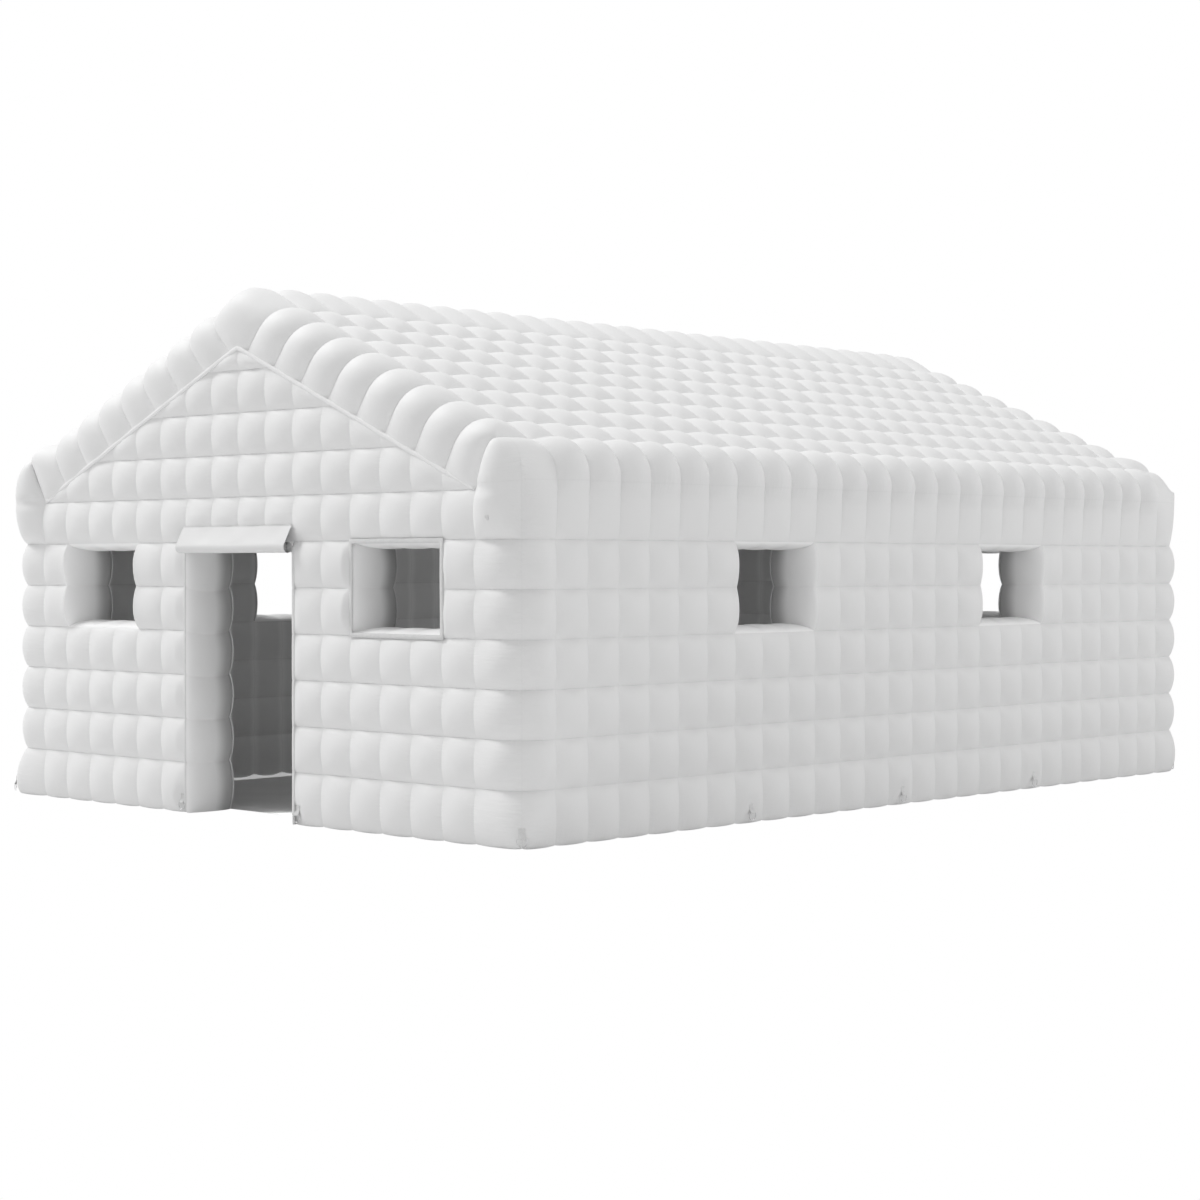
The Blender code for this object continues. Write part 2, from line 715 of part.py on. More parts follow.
def wall_baffles(name, frame, half, openings, levels, ties):
    """Cloth strips that tie a wall's outer skin to its lining along the row seams."""
    strips = [(-half, half, level - BAFFLE / 2, level + BAFFLE / 2) for level in levels]
    low, high = levels[0], levels[-1]
    strips += [(tie - BAFFLE / 2, tie + BAFFLE / 2, low, high) for tie in ties]
    openings = [grown(opening, SKIN + GAP) for opening in openings]
    return lattice(name, LINING_LOOK, frame, strips, openings, WALL - 2 * SKIN)


def end_baffles(name, frame, openings):
    """The baffles of an end wall; the door and windows interrupt them."""
    levels = [row_height(row) for row in range(1, WALL_ROWS + 1)]
    edge = END_CELL / 2
    outside = GABLE_HALF - edge
    beside = DOOR_COLUMNS * END_CELL / 2 + edge
    return wall_baffles(name, frame, INNER_X - GAP, openings, levels,
                        (-outside, -beside, beside, outside))


def side_baffles(name, side):
    """The baffles of a long wall; the windows interrupt them."""
    levels = [row_height(row) for row in range(1, EAVE_ROWS + 1)]
    openings = [side_window(column, side) for column in SIDE_WINDOW_COLUMNS]
    half = HALF_LENGTH - SKIN
    ties = [half * (2 * step / (BAFFLE_TIES - 1) - 1) for step in range(BAFFLE_TIES)]
    ties[0] += BAFFLE
    ties[-1] -= BAFFLE
    return wall_baffles(name, side_frame(side, SKIN), half, openings, levels, ties)


def roof_baffles(name, side):
    """Cloth strips under every second long seam of a roof slope, tied at the quarters."""
    length = INNER_X / math.cos(PITCH)
    half = INNER_Y - GAP
    levels = [length * step / ROOF_CELLS for step in range(1, ROOF_CELLS, 2)]
    strips = [(-half, half, level - BAFFLE / 2, level + BAFFLE / 2) for level in levels]
    for tie in (-half / 2, half / 2):
        strips.append((tie - BAFFLE / 2, tie + BAFFLE / 2, levels[0], levels[-1]))
    up = (-side * math.cos(PITCH), 0, math.sin(PITCH))
    normal = Vector((side * math.sin(PITCH), 0, math.cos(PITCH)))
    origin = Vector((side * INNER_X, 0, INNER_EAVE)) + normal * (WALL - SKIN)
    frame = frame_of(origin, (0, side, 0), up)
    return lattice(name, LINING_LOOK, frame, strips, (), WALL - 2 * SKIN)


def base_cloth(name):
    """The bottom cloth of the walls, from the outer skin to under the lining's foot."""
    outer_x, outer_y = HALF_WIDTH - SKIN, HALF_LENGTH - SKIN
    inner_x, inner_y = INNER_X + SKIN, INNER_Y + SKIN
    door = DOOR_COLUMNS * END_CELL / 2 + SKIN
    strips = [(-outer_x, -inner_x, -outer_y, outer_y), (inner_x, outer_x, -outer_y, outer_y),
              (-outer_x, outer_x, inner_y, outer_y), (-outer_x, -door, -outer_y, -inner_y),
              (door, outer_x, -outer_y, -inner_y)]
    frame = Matrix.Translation((0, 0, SHEET))
    return lattice(name, CLOTH_LOOK, frame, strips, (), SHEET)


def ground_sheet(name):
    """The floor sheet, which the linings stand on."""
    x, y = INNER_X + CLOTH, INNER_Y + CLOTH
    frame = Matrix.Translation((0, 0, SHEET))
    return lattice(name, SHEET_LOOK, frame, [(-x, x, -y, y)], (), SHEET)


def extruded(outline, holes, half_depth):
    """A flat outline with holes in local Y and Z, carried along local X."""
    bm = bmesh.new()
    for loop in (outline, *holes):
        verts = [bm.verts.new((y, z, half_depth)) for y, z in loop]
        for one, two in zip(verts, verts[1:] + verts[:1]):
            bm.edges.new((one, two))
    fill_flat(bm, bm.edges[:])
    close_behind(bm, half_depth)
    turn = Matrix(((0, 0, 1, 0), (1, 0, 0, 0), (0, 1, 0, 0), (0, 0, 0, 1)))
    bmesh.ops.transform(bm, matrix=turn, verts=bm.verts)
    return bm


def circle(radius, count, start=0.0, sweep=2 * math.pi, closed=True):
    """Points on a circle or, if not closed, on an arc with both of its ends."""
    steps = count if closed else count - 1
    return [(radius * math.cos(start + sweep * step / steps),
             radius * math.sin(start + sweep * step / steps)) for step in range(count)]


def tab_outline():
    """A webbing tab from the side: sewn patch, kink and the loop round the ring's bar.

    Local Y points out of the wall and Z up, with the ring's axis at zero.
    """
    half = TAB_THICKNESS / 2
    loop = TAB_BORE + TAB_THICKNESS * PATCH_SHARE + half
    lean = math.asin(half / loop)
    arc = circle(loop, LOOP_STEPS, math.pi / 2 + lean, 2 * (math.pi - lean), closed=False)
    inner = [(-TAB_KICK - half, TAB_PATCH_TOP), (-TAB_KICK - half, TAB_PATCH_LOW),
             (-half, TAB_NECK)]
    outer = [(half, TAB_NECK), (half - TAB_KICK, TAB_PATCH_LOW),
             (half - TAB_KICK, TAB_PATCH_TOP)]
    return inner + arc + outer


def quilt_height(offset, cell):
    """Height of the lowest row's bulge at the tab's patch, at an offset from a seam."""
    patch = RING_HEIGHT + (TAB_PATCH_LOW + TAB_PATCH_TOP) / 2
    up_share = patch / (row_height(1) / 2)
    across_share = min(1.0, 2 * offset / cell)
    return (SEAM_BULGE + (BULGE - SEAM_BULGE) * across_share) * up_share


def ring_places():
    """Name, place on the wall's foot, outward direction and wall of every anchor ring."""
    places = []
    corner = Vector((HALF_WIDTH, HALF_LENGTH, 0))
    for across, end in ((-1, -1), (1, -1), (-1, 1), (1, 1)):
        name = f"anchor_ring_{'front' if end < 0 else 'back'}_{'left' if across < 0 else 'right'}_corner"
        place = Vector((across * corner.x, end * corner.y, 0))
        wall = "left_wall" if across < 0 else "right_wall"
        places.append((name, place, Vector((across, end, 0)).normalized(), 0.0, wall))
    beside = DOOR_COLUMNS * END_CELL / 2 + DOOR_TAB_OFFSET
    for across, word in ((-1, "left"), (1, "right")):
        place = Vector((across * beside, -HALF_LENGTH, 0))
        height = quilt_height(DOOR_TAB_OFFSET, END_CELL)
        places.append((f"anchor_ring_door_{word}", place, Vector((0, -1, 0)), height, "front_wall"))
        place = Vector((across * END_CELL * (DOOR_COLUMNS + 1) / 2, HALF_LENGTH, 0))
        height = quilt_height(END_CELL / 2, END_CELL)
        places.append((f"anchor_ring_back_{word}", place, Vector((0, 1, 0)), height, "back_wall"))
        for column, part in zip(SIDE_RING_COLUMNS, ("front", "middle", "back")):
            y = LONG_CELL * (2 * column + 1) / 2 - HALF_LENGTH
            place = Vector((across * HALF_WIDTH, y, 0))
            height = quilt_height(LONG_CELL / 2, LONG_CELL)
            places.append((f"anchor_ring_{word}_{part}", place, Vector((across, 0, 0)), height,
                           f"{word}_wall"))
    return places


def ring_frame(place, out, height):
    """Frame on a ring's bar: X along the bar, Y out of the wall, Z up."""
    origin = place + out * (height + TAB_KICK) + Vector((0, 0, RING_HEIGHT))
    along = out.cross(Vector((0, 0, 1)))
    turn = Matrix((along, out, Vector((0, 0, 1)))).transposed().to_4x4()
    return Matrix.Translation(origin) @ turn


def anchor_ring(name, frame):
    """A welded wire D-ring that hangs by its straight bar."""
    path = [(-RING_HALF_WIDTH + RING_WIRE, 0.0), (RING_HALF_WIDTH - RING_WIRE, 0.0)]
    lead = math.radians(15)
    arc = circle(1.0, RING_ARC, -lead, math.pi + 2 * lead, closed=False)
    path += [(RING_HALF_WIDTH * c, -RING_SHOULDER - RING_DEPTH * s) for c, s in arc]
    path = [Vector((x, 0, z)) for x, z in path]
    bm = bmesh.new()
    rings = []
    for before, here, after in zip(path[-1:] + path[:-1], path, path[1:] + path[:1]):
        tangent = ((here - before).normalized() + (after - here).normalized()).normalized()
        spread = 1 / tangent.dot((after - here).normalized())
        normal = tangent.cross(Vector((0, 1, 0)))
        points = [here + normal * c * spread + Vector((0, s, 0))
                  for c, s in circle(RING_WIRE, RING_SIDES)]
        rings.append([bm.verts.new(point) for point in points])
    for one, two in zip(rings, rings[1:] + rings[:1]):
        for step in range(RING_SIDES):
            after = (step + 1) % RING_SIDES
            bm.faces.new((one[step], one[after], two[after], two[step]))
    return finish(name, bm, STEEL_LOOK, frame, math.radians(60))


def sew_tabs(wall, frames):
    """Join the webbing tabs of a wall's rings to its skin."""
    bore = circle(TAB_BORE, BORE_SIDES, math.pi / BORE_SIDES)
    joined = bmesh.new()
    for frame in frames:
        tab = extruded(tab_outline(), [bore], TAB_WIDTH / 2)
        bmesh.ops.transform(tab, matrix=frame, verts=tab.verts)
        mesh = bpy.data.meshes.new("tab")
        tab.to_mesh(mesh)
        tab.free()
        joined.from_mesh(mesh)
        bpy.data.meshes.remove(mesh)
    guide = finish(f"{wall.name}_tabs", joined, WEBBING_LOOK)
    guide.hide_render = True
    guide.display_type = "WIRE"
    union = wall.modifiers.new("sewn tabs", "BOOLEAN")
    union.operation = "UNION"
    union.solver = "EXACT"
    union.object = guide


def anchor_rings(walls):
    """Every anchor ring, and the tabs that carry them."""
    frames = {}
    for name, place, out, height, wall in ring_places():
        frame = ring_frame(place, out, height)
        anchor_ring(name, frame)
        frames.setdefault(wall, []).append(frame)
    for wall, places in frames.items():
        sew_tabs(walls[wall], places)


HEADER_LOW = row_height(DOOR_ROWS) + HEADER_LIFT
HEADER_TOP = HEADER_LOW + HEADER_HEIGHT
HEADER_BACK = BULGE * (HEADER_TOP - row_height(DOOR_ROWS)) / (ROW / 2) + GAP
ROLL_HALF = DOOR_COLUMNS * END_CELL / 2 + CURTAIN_OVERHANG
ROLL_HEIGHT = row_height(DOOR_ROWS) - ROLL_DROP
RIM_STAND_OFF = SEAM_BULGE + (BULGE - SEAM_BULGE) * RIM_WIDTH / (END_CELL / 2) + GAP


def box(name, look, low, high):
    """A plain flat piece between two corners."""
    bm = bmesh.new()
    bmesh.ops.create_cube(bm, size=1.0)
    low, high = Vector(low), Vector(high)
    middle = Matrix.Translation((low + high) / 2)
    bmesh.ops.transform(bm, matrix=middle @ Matrix.Diagonal((*(high - low), 1)), verts=bm.verts)
    return finish(name, bm, look)


def door_curtain():
    """Header band, hanging cloth and the spiral roll of the door's curtain."""
    face = -HALF_LENGTH
    back = face - HEADER_BACK
    box("door_header", WEBBING_LOOK, (-ROLL_HALF, back - CLOTH, HEADER_LOW),
        (ROLL_HALF, back, HEADER_TOP))
    top = (HEADER_BACK + CLOTH / 2, HEADER_LOW - GAP)
    half = CLOTH / 2
    radius = ROLL_RADIUS + GAP
    touch = (ROLL_REACH - radius * math.cos(ROLL_START),
             ROLL_HEIGHT + radius * math.sin(ROLL_START))
    outline = [(-top[0] - half, top[1]), (-touch[0] - half, touch[1]),
               (-touch[0] + half, touch[1]), (-top[0] + half, top[1])]
    cloth = extruded(outline, (), ROLL_HALF)
    finish("door_curtain", cloth, CLOTH_LOOK, Matrix.Translation((0, face, 0)))
    roll = extruded(spiral_outline(), (), ROLL_HALF)
    frame = Matrix.Translation((0, face - ROLL_REACH, ROLL_HEIGHT))
    finish("door_roll", roll, CLOTH_LOOK, frame)


def spiral_outline():
    """Outline of a rolled cloth seen from its end, as two spirals a cloth apart."""
    steps = ROLL_TURNS * ROLL_STEPS
    outer, inner = [], []
    for step in range(steps + 1):
        share = step / steps
        angle = ROLL_START + 2 * math.pi * ROLL_TURNS * share
        radius = ROLL_RADIUS + (ROLL_CORE - ROLL_RADIUS) * share
        outer.append((radius * math.cos(angle), radius * math.sin(angle)))
        radius -= ROLL_CLOTH
        inner.append((radius * math.cos(angle), radius * math.sin(angle)))
    return outer + inner[::-1]


def window_rim(name):
    """Flat border round the front right window, with a lip into the opening."""
    left, right, low, high = FRONT_RIGHT_WINDOW
    lip = RIM_THICKNESS + GAP
    face = RIM_STAND_OFF + RIM_THICKNESS
    section = [(-GAP, -CLOTH), (-GAP, RIM_STAND_OFF), (RIM_WIDTH, RIM_STAND_OFF), (RIM_WIDTH, face),
               (-RIM_REACH, face), (-RIM_REACH, RIM_STAND_OFF), (-lip, RIM_STAND_OFF), (-lip, -CLOTH)]
    bm = bmesh.new()
    rings = []
    for spread, depth in section:
        corners = [(left - spread, low - spread), (left - spread, high + spread),
                   (right + spread, high + spread), (right + spread, low - spread)]
        rings.append([bm.verts.new((x, y, depth)) for x, y in corners])
    for one, two in zip(rings, rings[1:] + rings[:1]):
        for step in range(4):
            after = (step + 1) % 4
            bm.faces.new((one[step], one[after], two[after], two[step]))
    return finish(name, bm, WEBBING_LOOK, front_frame())


def build_skins():
    """The outer skins; returns the walls that carry anchor tabs."""
    walls = {
        "front_wall": end_wall("front_wall", front_frame(), FRONT_OPENINGS),
        "back_wall": end_wall("back_wall", back_frame(), (mirrored(BACK_WINDOW),)),
        "left_wall": side_wall("left_wall", -1),
        "right_wall": side_wall("right_wall", 1),
    }
    for side, word in ((-1, "left"), (1, "right")):
        eave(f"{word}_eave", side)
        roof_panel(f"{word}_roof", side)
    ridge("ridge")
    rake("front_rake", -1)
    rake("back_rake", 1)
    return walls


def build_linings():
    """The inner linings, the sleeves of the openings and the hidden baffles."""
    inside_front = frame_of((0, -INNER_Y, 0), (-1, 0, 0), (0, 0, 1))
    inside_back = frame_of((0, INNER_Y, 0), (1, 0, 0), (0, 0, 1))
    end_lining("front_lining", inside_front, [mirrored(o) for o in FRONT_OPENINGS])
    end_lining("back_lining", inside_back, (BACK_WINDOW,))
    reveal("door_reveal", front_frame(), DOOR, open_below=True)
    reveal("front_left_window_reveal", front_frame(), FRONT_LEFT_WINDOW)
    reveal("front_right_window_reveal", front_frame(), FRONT_RIGHT_WINDOW)
    reveal("back_window_reveal", back_frame(), mirrored(BACK_WINDOW))
    end_baffles("front_baffles", front_frame(SKIN), FRONT_OPENINGS)
    end_baffles("back_baffles", back_frame(SKIN), (mirrored(BACK_WINDOW),))
    for side, word in ((-1, "left"), (1, "right")):
        side_lining(f"{word}_lining", side)
        ceiling(f"{word}_ceiling", side)
        side_baffles(f"{word}_baffles", side)
        roof_baffles(f"{word}_roof_baffles", side)
        for column, part in zip(SIDE_WINDOW_COLUMNS, ("front", "back")):
            reveal(f"{word}_{part}_window_reveal", side_frame(side), side_window(column, side))


def build_tent():
    """Model every piece of the tent."""
    clear_scene()
    walls = build_skins()
    build_linings()
    base_cloth("base_cloth")
    ground_sheet("ground_sheet")
    door_curtain()
    window_rim("front_right_window_rim")
    anchor_rings(walls)


build_tent()
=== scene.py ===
# %% [markdown]
# # Inflatable tent
#
# The tent is sewn from quilted cloth. Air blows each cell out between its seams, so every
# visible surface is a grid of points whose height follows one rule: least on a seam, most in
# the middle of a cell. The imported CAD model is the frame, and each cloth replaces one of its
# nodes in the same place. Lengths are in metres.

# %% Load the frame
import math

import bmesh
import bpy
import mathutils
import numpy as np
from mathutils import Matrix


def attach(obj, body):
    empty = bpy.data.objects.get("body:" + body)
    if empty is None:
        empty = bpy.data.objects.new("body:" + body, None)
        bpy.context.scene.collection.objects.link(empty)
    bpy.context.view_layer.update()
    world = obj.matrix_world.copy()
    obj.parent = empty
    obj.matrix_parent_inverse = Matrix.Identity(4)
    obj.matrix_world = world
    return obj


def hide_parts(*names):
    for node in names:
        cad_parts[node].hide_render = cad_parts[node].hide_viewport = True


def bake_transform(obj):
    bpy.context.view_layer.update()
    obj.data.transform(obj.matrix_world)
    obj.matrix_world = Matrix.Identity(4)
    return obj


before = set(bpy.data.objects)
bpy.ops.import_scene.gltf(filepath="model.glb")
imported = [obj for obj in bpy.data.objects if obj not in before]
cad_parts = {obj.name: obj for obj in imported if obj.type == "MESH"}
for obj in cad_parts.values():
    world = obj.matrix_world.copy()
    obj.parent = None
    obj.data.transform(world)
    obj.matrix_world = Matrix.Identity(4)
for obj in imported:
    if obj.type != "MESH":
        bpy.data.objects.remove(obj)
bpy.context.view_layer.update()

# %% [markdown]
# ## Sizes of the quilt
#
# The rows and columns are the seams of the CAD model. BULGE is how far a full cell stands out
# of its seams. SEAM_SHARE is the share of it that an upright seam keeps, CORNER_SHARE the share
# at a corner of the tent, and OPENING_SHARE what a row seam keeps at the side of an opening.
# LONG_EDGE is the share that a long wall keeps beside a window, and SLANT_LIFT is how far the
# gable's slanted seams stand out.

# %% Sizes
UP = (0, 0, 1)
SIDES = ((-1, "left"), (1, "right"))
ENDS = ((-1, "front"), (1, "back"))
END_CELL = 0.32
LONG_CELL = 0.3163
ROW = 0.34
FOOT_EXTRA = 0.05
GABLE_ROW = 0.318
HALF_WIDTH = 3.0
HALF_LENGTH = 4.27005
GABLE_HALF = 2.56
SLANT_LIFT = 0.026
WALL = 0.385
BULGE = 0.056
LINING_BULGE = 0.034
REVEAL_BULGE = 0.06
SEAM_SHARE = 0.5
CORNER_SHARE = 0.85
OPENING_SHARE = 0.35
OPENING_REACH = 0.14
LONG_EDGE = 0.75
ROUNDNESS = 0.8
SOFTNESS = 1.05
CORNER_ROUND = {-1: 0.25, 1: 0.07}
WALL_TOP = 2.43
EAVE = 2.67
RIDGE = 3.986
RIDGE_HALF = 0.384
EAVE_SEAM = 2.758
FAN_HALF = 0.096
SLOPE = (RIDGE - EAVE) / HALF_WIDTH
PITCH = math.atan(SLOPE)
GABLE_TOP = WALL_TOP + SLOPE * GABLE_HALF
INNER_X = HALF_WIDTH - WALL
INNER_Y = HALF_LENGTH - WALL
INNER_RIDGE = RIDGE - WALL / math.cos(PITCH)
INNER_EAVE = INNER_RIDGE - SLOPE * INNER_X

ROW_SEAMS = np.array([0.0] + [FOOT_EXTRA + ROW * row for row in range(1, 7)])
GABLE_ROWS = np.array([WALL_TOP + GABLE_ROW * row for row in range(4)] + [GABLE_TOP])
EAVE_FOOT = ROW_SEAMS[-1]
LONG_SEAMS = LONG_CELL * np.arange(28) - HALF_LENGTH
END_SEAMS = END_CELL * np.arange(17) - GABLE_HALF
DOOR = (-0.64, 0.64, -0.1, EAVE_FOOT)
FRONT_RIGHT_WINDOW = (1.28, 2.24, ROW_SEAMS[4], EAVE_FOOT)
FRONT_LEFT_WINDOW = (-2.24, -1.28, ROW_SEAMS[4], EAVE_FOOT)
BACK_WINDOW = (-1.60, -0.64, ROW_SEAMS[4], EAVE_FOOT)
SIDE_WINDOWS = [(LONG_SEAMS[first], LONG_SEAMS[first + 3], ROW_SEAMS[4], EAVE_FOOT)
                for first in (7, 17)]


# %% [markdown]
# ## The height rule
#
# Sample places crowd together near each seam, because the cloth turns sharply there. A place
# t of the way across a cell has the crown 4 t (1 - t), raised to ROUNDNESS. Rows are pinched
# flat at their seams, and upright seams keep a share of the height.

# %% Samples, crowns and heights
def ease(x):
    """Smooth step 3 x^2 - 2 x^3 from 0 to 1."""
    x = np.clip(x, 0, 1)
    return x * x * (3 - 2 * x)


def hump(t):
    """0 at both ends and 1 in the middle: 4 t (1 - t)."""
    return 4 * t * (1 - t)


def crowded(steps):
    """Places from 0 to 1, closer near both ends: (1 - cos(pi n / steps)) / 2."""
    return (1 - np.cos(np.pi * np.arange(steps + 1) / steps)) / 2


def between(seams, steps):
    """Places between seams, closer near each one: a + (b - a) crowded."""
    seams = np.asarray(seams, float)
    places = seams[:-1, None] + np.diff(seams)[:, None] * crowded(steps)[:-1]
    return np.append(places.ravel(), seams[-1])


def joined(*parts):
    """Coordinates of matching shapes as one array of points."""
    return np.stack(np.broadcast_arrays(*parts), -1)


def unit(vectors):
    """The same directions with length 1."""
    return vectors / np.maximum(np.linalg.norm(vectors, axis=-1, keepdims=True), 1e-9)


def normals(grid):
    """Unit normals of a grid of points."""
    return unit(np.cross(np.gradient(grid, axis=1), np.gradient(grid, axis=0)))


def crown(places, seams):
    """Crown 4 t (1 - t) at each place, and the place counted in cells from the first seam."""
    seams = np.asarray(seams, float)
    cell = np.clip(np.searchsorted(seams, places, side="right") - 1, 0, len(seams) - 2)
    t = (places - seams[cell]) / (seams[cell + 1] - seams[cell])
    return np.clip(hump(t), 0, 1), cell + t


def across_height(places, seams, shares):
    """Share of the height across upright seams: share + (1 - share) crown^softness."""
    full, counted = crown(places, seams)
    kept = np.interp(places, seams, shares)
    return kept + (1 - kept) * full ** SOFTNESS, counted


def with_corners(seams, half):
    """The seams between two corners, and the corners."""
    return np.concatenate([[-half], seams[np.abs(seams) < half - 0.01], [half]])


def seam_shares(count, ends=SEAM_SHARE, share=SEAM_SHARE):
    """The share of each upright seam, with another for the outermost two."""
    shares = np.full(count, share)
    shares[[0, -1]] = ends
    return shares


def between_cuts(start, end, cuts):
    """The stretches from start to end that are left between pairs of cuts."""
    edges = sorted([start, end, *cuts])
    return zip(edges[::2], edges[1::2])


def beside_opening(full, up, low, high, share=OPENING_SHARE):
    """Row crown at the side of an opening, which fills out within OPENING_REACH of its ends."""
    kept = share * ease(np.minimum(up - low, high - up) / OPENING_REACH)
    return full + (1 - full) * kept


# %% [markdown]
# ## Cloth from grids
#
# A Cloth collects grids of points. Neighbouring grids share their seam points, which are
# welded at the end. Each point keeps its place counted in cells, for the stitching, and how
# hard the cloth is pulled there, for the wrinkles; a reveal keeps its depth there instead, for its
# painted shade.

# %% Cloth
WELD = 1e-5


def linked(name, data, place=(0, 0, 0)):
    """A new object in the scene."""
    piece = bpy.data.objects.new(name, data)
    piece.location = place
    bpy.context.scene.collection.objects.link(piece)
    return piece


class Cloth:
    """Grids of points collected into one mesh object."""

    def __init__(self, place=lambda local: local):
        self.place = place
        self.points, self.faces, self.cells, self.pull, self.count = [], [], [], [], 0

    def grid(self, local, cells, pull=0.0, kept=None):
        """Add a grid of local points (across, up, out); kept drops some of its faces."""
        rows, columns = local.shape[:2]
        number = self.count + np.arange(rows * columns).reshape(rows, columns)
        faces = joined(number[:-1, :-1], number[:-1, 1:], number[1:, 1:], number[1:, :-1])
        self.faces.append(faces.reshape(-1, 4) if kept is None else faces[kept])
        self.points.append(self.place(local.reshape(-1, 3)))
        self.cells.append(cells.reshape(-1, 2))
        self.pull.append(np.broadcast_to(pull, (rows, columns)).ravel())
        self.count += rows * columns

    def build(self, name, material, replaces=(), slot="outer_cloth", body="tent"):
        """Make the object, weld its grids and let it ride on its body."""
        mesh = bpy.data.meshes.new(name)
        points, faces = np.concatenate(self.points), np.concatenate(self.faces)
        mesh.from_pydata(points.tolist(), [], faces.tolist())
        cells, corner = np.concatenate(self.cells), faces.ravel()
        mesh.uv_layers.new(name="cells").data.foreach_set("uv", cells[corner].ravel())
        pull = mesh.attributes.new("pull", "FLOAT", "POINT")
        pull.data.foreach_set("value", np.concatenate(self.pull).astype(np.float32))
        piece = linked(name, mesh)
        tidy(piece)
        mesh.shade_smooth()
        mesh.materials.append(material)
        if body:
            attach(piece, body)
        if replaces:
            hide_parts(*replaces)
        print(name, len(mesh.polygons), "faces")
        return piece


def tidy(piece):
    """Weld points that fall together and drop faces without area."""
    bm = bmesh.new()
    bm.from_mesh(piece.data)
    bmesh.ops.remove_doubles(bm, verts=bm.verts, dist=WELD)
    bmesh.ops.dissolve_degenerate(bm, edges=bm.edges, dist=WELD)
    bmesh.ops.delete(bm, geom=[vert for vert in bm.verts if not vert.link_faces], context="VERTS")
    bm.to_mesh(piece.data)
    bm.free()


def rounded(points):
    """Round the upright corners in plan.

    Within a radius of both faces, the point at the larger of the two distances from the
    rounding's centre moves to that distance along its own direction. The radius starts at 0.3
    of its size, is whole from 0.5 up, and loses 0.3 of it over the wall's top.
    """
    x, y, z = points.T
    radius = np.where(y < 0, CORNER_ROUND[-1], CORNER_ROUND[1])
    radius = radius * (0.3 + 0.7 * ease(z / 0.5)) * (1 - 0.3 * ease((z - WALL_TOP) / 0.3))
    p, q = np.abs(x) - (HALF_WIDTH - radius), np.abs(y) - (HALF_LENGTH - radius)
    near = (p > 0) & (q > 0)
    scale = np.where(near, np.maximum(p, q) / np.maximum(np.hypot(p, q), 1e-9), 1.0) - 1
    return points + joined(np.sign(x) * p * scale, np.sign(y) * q * scale, 0 * z)


def placed(origin, across, up=UP):
    """Map local points (across, up, out) to the tent; out is across x up."""
    axes = np.array([across, up, np.cross(across, up)], float)
    return lambda local: rounded(local @ axes + np.array(origin, float))


# %% Wall planes and windows
FRONT = placed((0, -HALF_LENGTH, 0), (1, 0, 0))
BACK = placed((0, HALF_LENGTH, 0), (-1, 0, 0))
LONG = {side: placed((side * HALF_WIDTH, 0, 0), (0, side, 0)) for side, word in SIDES}
WINDOWS = [("front_left", FRONT, FRONT_LEFT_WINDOW, END_SEAMS),
           ("front_right", FRONT, FRONT_RIGHT_WINDOW, END_SEAMS),
           ("back", BACK, BACK_WINDOW, END_SEAMS)]
WINDOWS += [(f"{word}_{part}", LONG[side], opening, LONG_SEAMS) for side, word in SIDES
            for opening, part in zip(SIDE_WINDOWS[::side], ("front", "back"))]


# %% [markdown]
# ## Materials
#
# The tent is coated polyester cloth. Its colour barely varies, so the detail is in the
# surface: a fine weave, broad slack, puckers that run away from each seam, and two rows of
# stitches beside it. Seams lie on whole numbers of the stored cell coordinates. The scale of
# a noise or a weave is per metre, or per cell where cells feed it, and bumps are in metres.

